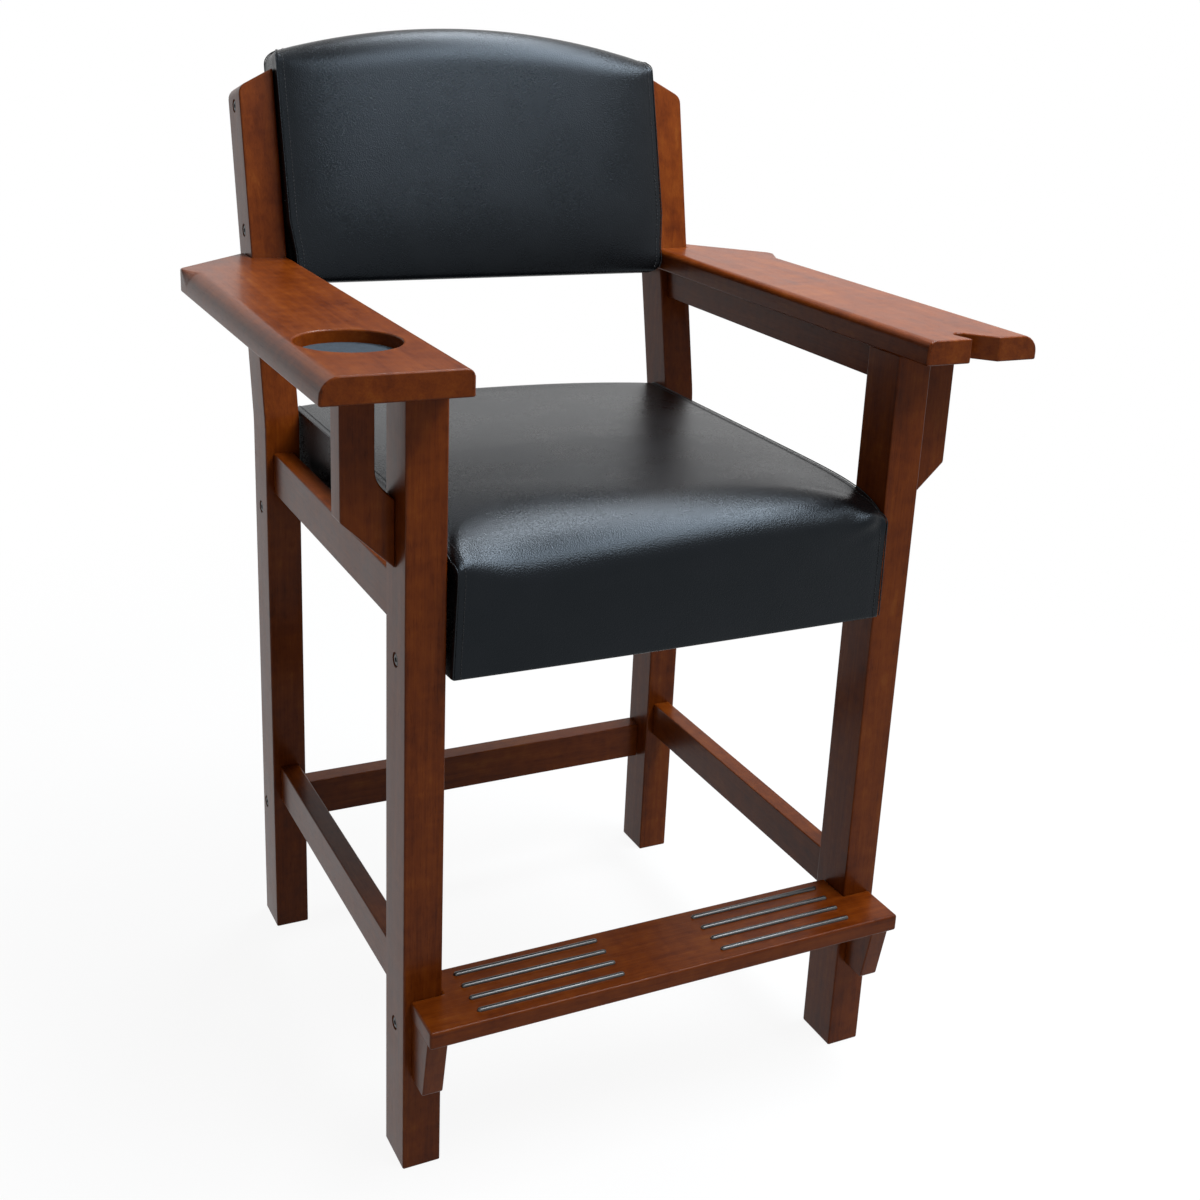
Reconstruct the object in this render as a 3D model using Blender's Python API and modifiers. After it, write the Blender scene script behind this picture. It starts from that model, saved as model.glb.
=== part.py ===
"""Billiard spectator chair.

Two side frames of solid wood (front leg, raked rear post, three rails) are bolted to four cross rails and
to the back board. Wide arms carry a cup recess on one side and a cue notch on the other, a ribbed board in
front of the legs takes the feet, and the seat and back are upholstered boxes.
Left and right are as seen from the front. The chair faces -Y and stands on Z = 0.
"""
import math

import bmesh
import bpy
from mathutils import Matrix, Vector

# Driving dimensions, in metres and radians
GAP = 0.0003                        # between pieces that touch
MERGE_DISTANCE = 1e-6
CORNER_STEPS = 4                    # chords in a rounded corner
SMOOTH_ANGLE = math.radians(50.0)
FLAT_ANGLE = 1e-4                   # faces that meet at less are one face

FRAME_WIDTH = 0.600                 # over the outer faces of the legs
FRAME_DEPTH = 0.521                 # front face of the front legs to front face of the rear posts
LEG_WIDTH = 0.043
LEG_DEPTH = 0.059
POST_WIDTH = 0.043
POST_DEPTH = 0.057
POST_TOP_HEIGHT = 1.127             # at the inner front corner
POST_BEND_HEIGHT = 0.711
POST_BEND_ROUND = 0.120
POST_RAKE = math.radians(12.4)
POST_TOP_SLOPE = math.radians(28.0)
POST_TOP_ROUND = 0.014
EDGE_ROUND = 0.002
EDGE_SEGMENTS = 2
EDGE_ANGLE = math.radians(40.0)     # sharper edges than this are rounded

RAIL_THICKNESS = 0.024
TENON_LENGTH = 0.022
TENON_SHOULDER = 0.008
SEAT_RAIL_RISE = 0.039              # above the underside of the seat
SEAT_RAIL_HEIGHT = 0.052
STRETCHER_BOTTOM = 0.193
STRETCHER_HEIGHT = 0.049
ARM_RAIL_HEIGHT = 0.038

ARM_HEIGHT = 0.8805                 # underside of the arms
ARM_THICKNESS = 0.027
ARM_INNER_OVERHANG = 0.005
ARM_OUTER_REACH = 0.098
ARM_FRONT_OVERHANG = 0.054
ARM_REAR_CORNER = 0.052             # ahead of the post's front face
ARM_REAR_ANGLE = math.radians(45.0)
ARM_CORNER_ROUND = 0.012
ARM_FRONT_ROUND = 0.003
ARM_BULLNOSE = 0.020
ARM_BULLNOSE_STOP = 0.018
ARM_INNER_ROUND = 0.009
ARM_EDGE_STEPS = 6

CUP_RADIUS = 0.052
CUP_STEPS = 32
CUP_DEPTH = 0.015
CUP_FROM_FRONT = 0.140              # centre behind the arm's front edge
CUP_FROM_OUTSIDE = 0.070
FELT_THICKNESS = 0.002
FELT_CLEARANCE = 0.0005

CUE_POCKET_RADIUS = 0.009
CUE_POCKET_DEPTH = 0.023
CUE_POCKET_FROM_INSIDE = 0.060
CUE_MOUTH_START = 0.057
CUE_MOUTH_WIDTH = 0.037
CUE_STEPS = 10

BRACKET_THICKNESS = 0.030
BRACKET_REACH = 0.055
BRACKET_ARM_WIDTH = 0.0345
BRACKET_TIP_DROP = 0.1885           # below the underside of the arm, as are the next two
BRACKET_HEEL_DROP = 0.1365
BRACKET_SLOT_DROP = 0.1185
BRACKET_SLOT_CURVE = 0.030

CROSS_RAIL_THICKNESS = 0.0275
REAR_STRETCHER_BOTTOM = 0.147
REAR_STRETCHER_HEIGHT = 0.051
REAR_STRETCHER_INSET = 0.003        # from the rear face of the posts
FRONT_STRETCHER_HEIGHT = 0.046
SEAT_FRAME_HEIGHT = 0.050
SEAT_BOLT_RISE = 0.0115             # bolt centre above the underside of the seat frame

FOOTREST_HEIGHT = 0.215             # top of the board
FOOTREST_THICKNESS = 0.0205
FOOTREST_REACH = 0.0615             # in front of the legs
FOOTREST_BACK = 0.043               # behind the front face of the legs
FOOTREST_INSET = 0.0075             # from the outer faces of the legs
FOOTREST_ROUND = 0.003
FOOT_BRACKET_THICKNESS = 0.023
FOOT_BRACKET_INSET = 0.009
FOOT_BRACKET_HEIGHT = 0.076
FOOT_BRACKET_TOP_REACH = 0.050
FOOT_BRACKET_BOTTOM_REACH = 0.035
FOOT_BRACKET_ROUND = 0.004

RIB_COUNT = 4
RIB_WIDTH = 0.0065
RIB_RISE = 0.003
RIB_FIRST = 0.0185                  # first rib's centre behind the board's front edge
RIB_LAST = 0.0161                   # last rib's centre ahead of the board's back edge
RIB_FROM_CENTRE = 0.061
RIB_FROM_END = 0.0585
RIB_ARC_STEPS = 8

SEAT_BOTTOM_HEIGHT = 0.582
SEAT_SIDE_HEIGHT = 0.138            # underside to the seam at the top of the sides
SEAT_CROWN = 0.020
SEAT_CROWN_FLAT = 0.035             # half-width of the flat middle
SEAT_CROWN_RINGS = 6
SEAT_FRONT_PROUD = 0.015
SEAT_FRONT_DROP = 0.016
SEAT_FRONT_DROP_RUN = 0.090
SEAT_DRAWN_IN = 0.004
SEAT_SKIRT = 0.004                  # vinyl and padding over the frame
SEAT_CORNER_ROUND = 0.008
SEAT_CORNER_STEPS = 3
SEAT_SEAM_INSET = 0.002
DECK_THICKNESS = 0.012
DUST_COVER_THICKNESS = 0.0015
DUST_COVER_RECESS = 0.0005

CROWN_POWER = 1.6                   # how soon an upholstered face levels off
COVER_STEP = 0.062                  # longest chord of an upholstered outline

BACK_ABOVE_POST = 0.018             # side tops above the posts' inner tops, along the rake
BACK_HEIGHT = 0.277                 # at the sides
BACK_ARCH = 0.034
BACK_ARCH_STEPS = 12
BACK_FRONT_TOP = 0.012              # seam in front of the posts, at the top
BACK_FRONT_BOTTOM = 0.025
BACK_CROWN = 0.014
BACK_CROWN_FLAT = 0.0545            # half-height of the flat middle
BACK_CROWN_RINGS = 4
BACK_WALL = 0.003                   # cover between the board's edge and the posts
BACK_ARM_CLEARANCE = 0.002          # between the pad in front of the posts and the arms
BACK_STEP = 0.003                   # pad narrows this far behind the posts' front faces
BACK_TOP_PAD = 0.010
BACK_CORNER_ROUND = 0.026
BACK_TOP_ROUND = 0.012
BOARD_THICKNESS = 0.018

BOLT_SHANK_RADIUS = 0.003
BOLT_HEAD_RADIUS = 0.0075
BOLT_HEAD_THICKNESS = 0.0035
BOLT_SOCKET_RADIUS = 0.0023
BOLT_SOCKET_DEPTH = 0.002
BOLT_PAST_NUT = 0.008
BOLT_STEPS = 12
SOCKET_SIDES = 6
COUNTERBORE_DEPTH = 0.005
COUNTERBORE_STEPS = 16
COUNTERBORE_CLEARANCE = 0.0007
BOLT_HOLE_CLEARANCE = 0.0005
NUT_RADIUS = 0.005
NUT_LENGTH = 0.013
NUT_SETBACK = 0.030                 # nut's centre from the end of its rail
NUT_STEPS = 14
BACK_BOLT_RISE = 0.069              # lower back bolts above the foot of the back rest
BACK_BOLT_SPACING = 0.148

# Places that follow from the driving dimensions
RAKE_RISE = POST_TOP_HEIGHT - POST_BEND_HEIGHT
RAKE_RUN = RAKE_RISE * math.tan(POST_RAKE)
RAKE_LENGTH = RAKE_RISE / math.cos(POST_RAKE)
TOTAL_DEPTH = FOOTREST_REACH + FRAME_DEPTH + RAKE_RUN + POST_DEPTH * math.cos(POST_RAKE)
LEG_FRONT_Y = FOOTREST_REACH - TOTAL_DEPTH / 2
LEG_BACK_Y = LEG_FRONT_Y + LEG_DEPTH
LEG_BOLT_Y = LEG_FRONT_Y + LEG_DEPTH / 2
POST_FRONT_Y = LEG_FRONT_Y + FRAME_DEPTH
POST_BACK_Y = POST_FRONT_Y + POST_DEPTH
POST_BOLT_Y = POST_FRONT_Y + POST_DEPTH / 2
OUTER_X = FRAME_WIDTH / 2
LEG_INNER_X = OUTER_X - LEG_WIDTH
POST_INNER_X = OUTER_X - POST_WIDTH
ARM_TOP = ARM_HEIGHT + ARM_THICKNESS
ARM_INNER_X = LEG_INNER_X - ARM_INNER_OVERHANG
ARM_OUTER_X = OUTER_X + ARM_OUTER_REACH
ARM_FRONT_Y = LEG_FRONT_Y - ARM_FRONT_OVERHANG
SEAT_EDGE_HEIGHT = SEAT_BOTTOM_HEIGHT + SEAT_SIDE_HEIGHT
SEAT_RAIL_BOTTOM = SEAT_BOTTOM_HEIGHT + SEAT_RAIL_RISE
BACK_SIDE_TOP = RAKE_LENGTH + BACK_ABOVE_POST
BACK_BOTTOM = BACK_SIDE_TOP - BACK_HEIGHT
FAR = 1.0                           # past everything, for cutters
SIDES = (("left", -1), ("right", 1))


def post_front_y(height):
    """Front face of a rear post at a height."""
    return POST_FRONT_Y + max(0.0, height - POST_BEND_HEIGHT) * math.tan(POST_RAKE)


RAKED = Matrix.Translation((0, POST_FRONT_Y, POST_BEND_HEIGHT)) @ Matrix.Rotation(-POST_RAKE, 4, "X")
PLAN = Matrix.Identity(4)
# Outlines drawn in YZ and extruded along X, and outlines drawn in XZ and extruded along Y
SIDE_VIEW = Matrix(((0, 0, 1, 0), (1, 0, 0, 0), (0, 1, 0, 0), (0, 0, 0, 1)))
FRONT_VIEW = Matrix(((1, 0, 0, 0), (0, 0, -1, 0), (0, 1, 0, 0), (0, 0, 0, 1)))


for leftover in list(bpy.data.objects):
    bpy.data.objects.remove(leftover)
parts = bpy.data.collections.new("billiard_spectator_chair")
cutters = bpy.data.collections.new("cutters")
for group in (parts, cutters):
    bpy.context.scene.collection.children.link(group)


def finish(name, colour, roughness, metallic=0.0):
    """A Principled material of one colour."""
    material = bpy.data.materials.new(name)
    material.use_nodes = True
    shader = material.node_tree.nodes["Principled BSDF"]
    shader.inputs["Base Color"].default_value = (*colour, 1.0)
    shader.inputs["Roughness"].default_value = roughness
    shader.inputs["Metallic"].default_value = metallic
    return material


WOOD = finish("stained_wood", (0.150, 0.042, 0.012), 0.32)
PLYWOOD = finish("plywood", (0.420, 0.280, 0.150), 0.70)
VINYL = finish("black_vinyl", (0.010, 0.011, 0.013), 0.42)
FELT = finish("grey_felt", (0.060, 0.068, 0.080), 0.95)
RUBBER = finish("black_rubber", (0.012, 0.012, 0.012), 0.45)
STEEL = finish("black_steel", (0.030, 0.030, 0.032), 0.38, 1.0)
ZINC = finish("zinc_plate", (0.560, 0.560, 0.540), 0.35, 1.0)
CAMBRIC = finish("black_cambric", (0.015, 0.015, 0.016), 0.90)


def place(name, mesh, material):
    """Link a mesh as a sub-part of the chair."""
    piece = bpy.data.objects.new(name, mesh)
    mesh.materials.clear()
    mesh.materials.append(material)
    parts.objects.link(piece)
    return piece


def cutter(name, mesh):
    """Link a mesh as a cutter, which isn't part of the chair."""
    tool = bpy.data.objects.new("cut_" + name, mesh)
    tool.hide_render = True
    tool.display_type = "WIRE"
    cutters.objects.link(tool)
    return tool


def combine(piece, tool, operation="DIFFERENCE"):
    """Cut a piece with a tool, or keep what both hold."""
    step = piece.modifiers.new(tool.name, "BOOLEAN")
    step.operation = operation
    step.object = tool
    step.solver = "EXACT"
    return piece


def box(low, high):
    """A box between two corners."""
    low, high = Vector(low), Vector(high)
    shape = bmesh.new()
    size = Matrix.Diagonal((*(high - low), 1.0))
    bmesh.ops.create_cube(shape, size=1.0, matrix=Matrix.Translation((low + high) / 2) @ size)
    return as_mesh(shape)


def rod(radius, length, steps, matrix):
    """A cylinder along the local Z axis, from its start."""
    shape = bmesh.new()
    lift = Matrix.Translation((0, 0, length / 2))
    bmesh.ops.create_cone(shape, cap_ends=True, segments=steps, radius1=radius, radius2=radius,
                          depth=length, matrix=matrix @ lift)
    return as_mesh(shape)


def as_mesh(shape):
    """Close a bmesh into a mesh with its faces pointing out."""
    bmesh.ops.recalc_face_normals(shape, faces=shape.faces)
    mesh = bpy.data.meshes.new("shape")
    shape.to_mesh(mesh)
    shape.free()
    return mesh


def board(outline, start, end, matrix):
    """A flat outline extruded along its local Z axis from start to end."""
    curve = bpy.data.curves.new("outline", "CURVE")
    curve.dimensions = "2D"
    curve.fill_mode = "BOTH"
    curve.extrude = (end - start) / 2
    spline = curve.splines.new("POLY")
    spline.points.add(len(outline) - 1)
    for point, (u, v) in zip(spline.points, outline):
        point.co = (u, v, 0.0, 1.0)
    spline.use_cyclic_u = True
    guide = bpy.data.objects.new("outline", curve)
    bpy.context.scene.collection.objects.link(guide)
    mesh = bpy.data.meshes.new_from_object(guide.evaluated_get(bpy.context.evaluated_depsgraph_get()))
    bpy.data.objects.remove(guide)
    shape = bmesh.new()
    shape.from_mesh(mesh)
    bmesh.ops.remove_doubles(shape, verts=shape.verts, dist=MERGE_DISTANCE)
    bmesh.ops.dissolve_limit(shape, angle_limit=FLAT_ANGLE, verts=shape.verts, edges=shape.edges)
    lift = Matrix.Translation((0, 0, (start + end) / 2))
    bmesh.ops.transform(shape, matrix=matrix @ lift, verts=shape.verts)
    return as_mesh(shape)


def arc(centre, radius, first, last, steps):
    """Points of an arc, with its angles in radians."""
    turn = (last - first) / steps
    angles = [first + turn * k for k in range(steps + 1)]
    return [(centre[0] + radius * math.cos(a), centre[1] + radius * math.sin(a)) for a in angles]


def rounded(corners, steps=CORNER_STEPS):
    """An outline from (u, v, radius) corners, each with its radius rounded off."""
    outline = []
    for k, (u, v, radius) in enumerate(corners):
        here = Vector((u, v))
        before = (Vector(corners[k - 1][:2]) - here).normalized()
        after = (Vector(corners[(k + 1) % len(corners)][:2]) - here).normalized()
        if radius <= 0.0:
            outline.append((u, v))
            continue
        half = before.angle(after) / 2
        centre = here + (before + after).normalized() * radius / math.sin(half)
        first = here + before * radius / math.tan(half) - centre
        last = here + after * radius / math.tan(half) - centre
        sweep = first.angle_signed(last)
        start = math.atan2(first.y, first.x)
        outline += arc(centre, radius, start, start - sweep, steps)
    return outline


def mirrored(points, side):
    """An outline drawn for the right side, moved to a side."""
    flipped = [(side * point[0], *point[1:]) for point in points]
    return flipped if side > 0 else flipped[::-1]


def ease(piece):
    """Round the sharp edges of a wooden piece."""
    step = piece.modifiers.new("eased_edges", "BEVEL")
    step.width = EDGE_ROUND
    step.segments = EDGE_SEGMENTS
    step.limit_method = "ANGLE"
    step.angle_limit = EDGE_ANGLE
    return piece


def span(side, near, far):
    """Lowest and highest X of something between two distances from the centre plane."""
    return sorted((side * near, side * far))


def front_leg(name, side):
    """A square leg from the floor to the arm."""
    low, high = span(side, LEG_INNER_X, OUTER_X)
    mesh = box((low, LEG_FRONT_Y, 0), (high, LEG_BACK_Y, ARM_HEIGHT - GAP))
    return ease(place(name + "_front_leg", mesh, WOOD))


def rear_post(name, side):
    """A post that is plumb up to the seat and leans back above it, with its top cut down outwards."""
    rear_bend = POST_BEND_HEIGHT - POST_DEPTH * math.tan(POST_RAKE / 2)
    tip = RAKED @ Vector((0, 0, RAKE_LENGTH))
    heel = RAKED @ Vector((0, POST_DEPTH, RAKE_LENGTH))
    outline = rounded([(POST_FRONT_Y, 0, 0), (POST_BACK_Y, 0, 0), (POST_BACK_Y, rear_bend, POST_BEND_ROUND),
                       (heel.y, heel.z, 0), (tip.y, tip.z, 0),
                       (POST_FRONT_Y, POST_BEND_HEIGHT, POST_BEND_ROUND)])
    low, high = span(side, POST_INNER_X, OUTER_X)
    piece = place(name + "_rear_post", board(outline, low, high, SIDE_VIEW), WOOD)
    drop = POST_WIDTH * math.tan(POST_TOP_SLOPE)
    front = rounded(mirrored([(POST_INNER_X - FAR, -FAR, 0), (OUTER_X, -FAR, 0),
                              (OUTER_X, RAKE_LENGTH - drop, POST_TOP_ROUND), (POST_INNER_X, RAKE_LENGTH, 0),
                              (POST_INNER_X - FAR, RAKE_LENGTH, 0)], side))
    kept = cutter(name + "_post_top", board(front, -FAR, FAR, RAKED @ FRONT_VIEW))
    combine(piece, kept, "INTERSECT")
    return ease(piece)


def side_rail(label, name, side, bottom, top, hosts):
    """A rail between leg and post with a stub tenon at each end, and the mortises that take the tenons."""
    middle = OUTER_X - LEG_WIDTH / 2
    low, high = span(side, middle - RAIL_THICKNESS / 2, middle + RAIL_THICKNESS / 2)
    first = LEG_BACK_Y + GAP
    foot, head = bottom + TENON_SHOULDER, top - TENON_SHOULDER
    last = [post_front_y(height) - GAP for height in (bottom, foot, head, top)]
    front_end = LEG_BACK_Y - TENON_LENGTH
    rear_end = last[0] + TENON_LENGTH
    outline = [(first, bottom), (last[0], bottom), (last[1], foot), (rear_end, foot), (rear_end, head),
               (last[2], head), (last[3], top), (first, top), (first, head), (front_end, head),
               (front_end, foot), (first, foot)]
    rail = place("%s_%s" % (name, label), board(outline, low, high, SIDE_VIEW), WOOD)
    ends = ((front_end - GAP, LEG_BACK_Y + GAP), (last[0] - GAP, rear_end + GAP))
    for host, (start, end) in zip(hosts, ends):
        mortise = box((low - GAP, start, foot - GAP), (high + GAP, end, head + GAP))
        combine(host, cutter("%s_%s_mortise_%s" % (name, label, host.name), mortise))
    return rail


def arm(name, side):
    """A wide board on the leg and the arm rail, cut round the post, with a bullnosed outer edge."""
    corner_y = post_front_y(ARM_HEIGHT) - ARM_REAR_CORNER
    tail_y = corner_y + (ARM_OUTER_X - OUTER_X) * math.tan(ARM_REAR_ANGLE)
    plan = rounded(mirrored([(ARM_INNER_X, ARM_FRONT_Y, ARM_FRONT_ROUND),
                             (ARM_OUTER_X, ARM_FRONT_Y, ARM_FRONT_ROUND),
                             (ARM_OUTER_X, corner_y, ARM_CORNER_ROUND), (OUTER_X + GAP, tail_y, 0),
                             (ARM_INNER_X, tail_y, 0)], side))
    piece = place(name + "_arm", board(plan, ARM_HEIGHT, ARM_TOP, PLAN), WOOD)
    clear = [(post_front_y(height) - GAP, height) for height in (ARM_HEIGHT - GAP, ARM_TOP + GAP)]
    notch = [clear[0], (FAR, clear[0][1]), (FAR, clear[1][1]), clear[1]]
    low, high = span(side, 0, OUTER_X + GAP)
    combine(piece, cutter(name + "_arm_notch", board(notch, low, high, SIDE_VIEW)))
    nose = (ARM_OUTER_X - ARM_BULLNOSE, ARM_TOP - ARM_BULLNOSE)
    waste = arc(nose, ARM_BULLNOSE, 0, math.pi / 2, ARM_EDGE_STEPS)
    waste += [(nose[0], ARM_TOP + GAP), (ARM_OUTER_X + GAP, ARM_TOP + GAP), (ARM_OUTER_X + GAP, nose[1])]
    stop = corner_y - ARM_BULLNOSE_STOP
    shape = board(mirrored(waste, side), -stop, -(ARM_FRONT_Y - GAP), FRONT_VIEW)
    combine(piece, cutter(name + "_arm_bullnose", shape))
    lip = (ARM_INNER_X + ARM_INNER_ROUND, ARM_TOP - ARM_INNER_ROUND)
    waste = arc(lip, ARM_INNER_ROUND, math.pi / 2, math.pi, ARM_EDGE_STEPS)
    waste += [(ARM_INNER_X - GAP, lip[1]), (ARM_INNER_X - GAP, ARM_TOP + GAP), (lip[0], ARM_TOP + GAP)]
    shape = board(mirrored(waste, side), -FAR, FAR, FRONT_VIEW)
    combine(piece, cutter(name + "_arm_lip", shape))
    return piece


def cup_recess(piece, side):
    """A round recess for a cup in one arm, with a felt disc on its floor."""
    centre = (side * (ARM_OUTER_X - CUP_FROM_OUTSIDE), ARM_FRONT_Y + CUP_FROM_FRONT, ARM_TOP - CUP_DEPTH)
    seat = Matrix.Translation(centre)
    combine(piece, cutter("cup", rod(CUP_RADIUS, CUP_DEPTH + GAP, CUP_STEPS, seat)))
    lift = Matrix.Translation((0, 0, GAP))
    place("cup_felt", rod(CUP_RADIUS - FELT_CLEARANCE, FELT_THICKNESS, CUP_STEPS, seat @ lift), FELT)


def cue_notch(piece, side):
    """A notch in one arm's front edge: a wide mouth that narrows to a round pocket for a cue."""
    centre = Vector((ARM_INNER_X + CUE_POCKET_FROM_INSIDE, ARM_FRONT_Y + CUE_POCKET_DEPTH))
    near = Vector((ARM_INNER_X + CUE_MOUTH_START, ARM_FRONT_Y))
    far = near + Vector((CUE_MOUTH_WIDTH, 0))

    def tangent(corner, turn):
        reach = corner - centre
        swing = turn * math.acos(CUE_POCKET_RADIUS / reach.length)
        return math.atan2(reach.y, reach.x) + swing

    first, last = tangent(far, 1), tangent(near, -1)
    outline = [(near.x, ARM_FRONT_Y - GAP), (far.x, ARM_FRONT_Y - GAP), (far.x, far.y)]
    outline += arc(centre, CUE_POCKET_RADIUS, first, last % (2 * math.pi), CUE_STEPS)
    outline.append((near.x, near.y))
    shape = board(mirrored(outline, side), ARM_HEIGHT - GAP, ARM_TOP + GAP, PLAN)
    combine(piece, cutter("cue_notch", shape))


def arm_bracket(name, side):
    """A plate beside the leg that carries the outer part of the arm, with a slot between it and the leg."""
    near = OUTER_X + GAP
    far = OUTER_X + BRACKET_REACH
    slot = far - BRACKET_ARM_WIDTH
    tip = ARM_HEIGHT - BRACKET_TIP_DROP
    heel = ARM_HEIGHT - BRACKET_HEEL_DROP
    foot = ARM_HEIGHT - BRACKET_SLOT_DROP
    top = ARM_HEIGHT - GAP
    outline = rounded(mirrored([(near, tip, 0), (far, heel, 0), (far, top, 0), (slot, top, 0),
                                (slot, foot + slot - near, BRACKET_SLOT_CURVE), (near, foot, 0)], side))
    mesh = board(outline, -LEG_BACK_Y, BRACKET_THICKNESS - LEG_BACK_Y, FRONT_VIEW)
    return ease(place(name + "_arm_bracket", mesh, WOOD))


def cross_rail(name, reach, y, bottom, height):
    """A rail between the side frames, centred on a line across the chair."""
    half = CROSS_RAIL_THICKNESS / 2
    return place(name, box((-reach, y - half, bottom), (reach, y + half, bottom + height)), WOOD)


def footrest():
    """A board in front of the legs and between them, on two small brackets, with rubber ribs."""
    under = FOOTREST_HEIGHT - FOOTREST_THICKNESS
    front = LEG_FRONT_Y - FOOTREST_REACH
    shoulder = LEG_FRONT_Y - GAP
    back = LEG_FRONT_Y + FOOTREST_BACK
    end = OUTER_X - FOOTREST_INSET
    neck = LEG_INNER_X - GAP
    right = [(end, front, FOOTREST_ROUND), (end, shoulder, 0), (neck, shoulder, 0), (neck, back, 0)]
    outline = rounded(right + mirrored(right, -1))
    place("footrest_board", board(outline, under, FOOTREST_HEIGHT, PLAN), WOOD)
    pitch = (back - RIB_LAST - front - RIB_FIRST) / (RIB_COUNT - 1)
    for name, side in SIDES:
        top = under - GAP
        far = OUTER_X - FOOT_BRACKET_INSET
        low, high = span(side, far - FOOT_BRACKET_THICKNESS, far)
        bottom = top - FOOT_BRACKET_HEIGHT
        wedge = rounded([(shoulder, top, 0), (LEG_FRONT_Y - FOOT_BRACKET_TOP_REACH, top, 0),
                         (LEG_FRONT_Y - FOOT_BRACKET_BOTTOM_REACH, bottom, FOOT_BRACKET_ROUND),
                         (shoulder, bottom, 0)])
        place(name + "_footrest_bracket", board(wedge, low, high, SIDE_VIEW), WOOD)
        for k in range(RIB_COUNT):
            low, high = span(side, RIB_FROM_CENTRE, end - RIB_FROM_END)
            y = front + RIB_FIRST + k * pitch
            section = [(y + RIB_WIDTH / 2 * u, FOOTREST_HEIGHT + GAP + RIB_RISE * v)
                       for u, v in arc((0, 0), 1.0, 0, math.pi, RIB_ARC_STEPS)]
            rib = place("%s_tread_rib_%d" % (name, k + 1), board(section, low, high, SIDE_VIEW), RUBBER)
            rib.data.shade_smooth()
            rib.data.set_sharp_from_angle(angle=SMOOTH_ANGLE)


def loft(rings):
    """A closed skin over a stack of outlines with equal numbers of points."""
    shape = bmesh.new()
    layers = [[shape.verts.new(point) for point in ring] for ring in rings]
    for lower, upper in zip(layers, layers[1:]):
        for k in range(len(lower)):
            shape.faces.new((lower[k - 1], lower[k], upper[k], upper[k - 1]))
    shape.faces.new(layers[0][::-1])
    shape.faces.new(layers[-1])
    mesh = as_mesh(shape)
    mesh.shade_smooth()
    mesh.set_sharp_from_angle(angle=SMOOTH_ANGLE)
    return mesh


def crown(rings, run):
    """Insets and shares of the full rise for the rings of an upholstered face, from its seam inwards."""
    steps = [(k + 1) / rings for k in range(rings)]
    return [(run * t * t, 1 - (1 - t) ** CROWN_POWER) for t in steps]


def divided(outline, longest):
    """An outline with its long edges divided into equal steps."""
    points = []
    for here, there in zip(outline, outline[1:] + outline[:1]):
        here, there = Vector(here), Vector(there)
        steps = max(1, round((there - here).length / longest))
        points += [here.lerp(there, k / steps) for k in range(steps)]
    return points


def seat(frame_y):
    """An upholstered box: two frame rails, a deck, a dust cover below and a crowned cushion over all."""
    wide = min(LEG_INNER_X, POST_INNER_X) - GAP
    front = LEG_FRONT_Y - SEAT_FRONT_PROUD
    half = CROSS_RAIL_THICKNESS / 2
    cavity_front = frame_y[0] - half - GAP
    cavity_back = frame_y[1] + half + GAP
    back = cavity_back + SEAT_SKIRT
    inside = wide - SEAT_SKIRT
    cover_top = SEAT_BOTTOM_HEIGHT + DUST_COVER_RECESS + DUST_COVER_THICKNESS
    rail_bottom = cover_top + GAP
    deck_bottom = rail_bottom + SEAT_FRAME_HEIGHT + GAP
    cavity_top = deck_bottom + DECK_THICKNESS + GAP
    reach = inside - GAP
    rails = [cross_rail("seat_%s_rail" % end, reach, y, rail_bottom, SEAT_FRAME_HEIGHT)
             for end, y in zip(("front", "rear"), frame_y)]
    sheets = (("seat_deck", deck_bottom, deck_bottom + DECK_THICKNESS, PLYWOOD),
              ("seat_dust_cover", cover_top - DUST_COVER_THICKNESS, cover_top, CAMBRIC))
    for name, low, high, material in sheets:
        place(name, box((-reach, cavity_front + GAP, low), (reach, cavity_back - GAP, high)), material)

    middle = Vector((0, (front + back) / 2))
    size = Vector((wide, (back - front) / 2))
    plan = divided(rounded([(-wide, front, SEAT_CORNER_ROUND), (wide, front, SEAT_CORNER_ROUND),
                            (wide, back, SEAT_CORNER_ROUND), (-wide, back, SEAT_CORNER_ROUND)],
                           SEAT_CORNER_STEPS), COVER_STEP)

    def ring(height, inset, drawn, fall):
        points = []
        for spot in plan:
            u, v = (spot.x - middle.x) / size.x, (spot.y - middle.y) / size.y
            pull = inset + drawn * (1 - min(abs(u), abs(v)) ** 2)
            x = middle.x + (spot.x - middle.x) * (1 - pull / size.x)
            y = middle.y + (spot.y - middle.y) * (1 - pull / size.y)
            near = max(0.0, 1 - (y - front) / SEAT_FRONT_DROP_RUN)
            points.append((x, y, height - fall * SEAT_FRONT_DROP * near * near))
        return points

    rings = [ring(SEAT_BOTTOM_HEIGHT, 0, 0, 0), ring(cavity_top, 0, 0, 0),
             ring((cavity_top + SEAT_EDGE_HEIGHT) / 2, 0, SEAT_DRAWN_IN, 0.5),
             ring(SEAT_EDGE_HEIGHT, SEAT_SEAM_INSET, SEAT_DRAWN_IN, 1)]
    run = min(size) - SEAT_DRAWN_IN - SEAT_CROWN_FLAT
    for inset, rise in crown(SEAT_CROWN_RINGS, run):
        rings.append(ring(SEAT_EDGE_HEIGHT + SEAT_CROWN * rise, inset, SEAT_DRAWN_IN, 1))
    cushion = place("seat_cushion", loft(rings), VINYL)
    hollow = box((-inside, cavity_front, SEAT_BOTTOM_HEIGHT - GAP), (inside, cavity_back, cavity_top))
    combine(cushion, cutter("seat_hollow", hollow))
    return rails, cushion, inside, rail_bottom + SEAT_BOLT_RISE


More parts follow.
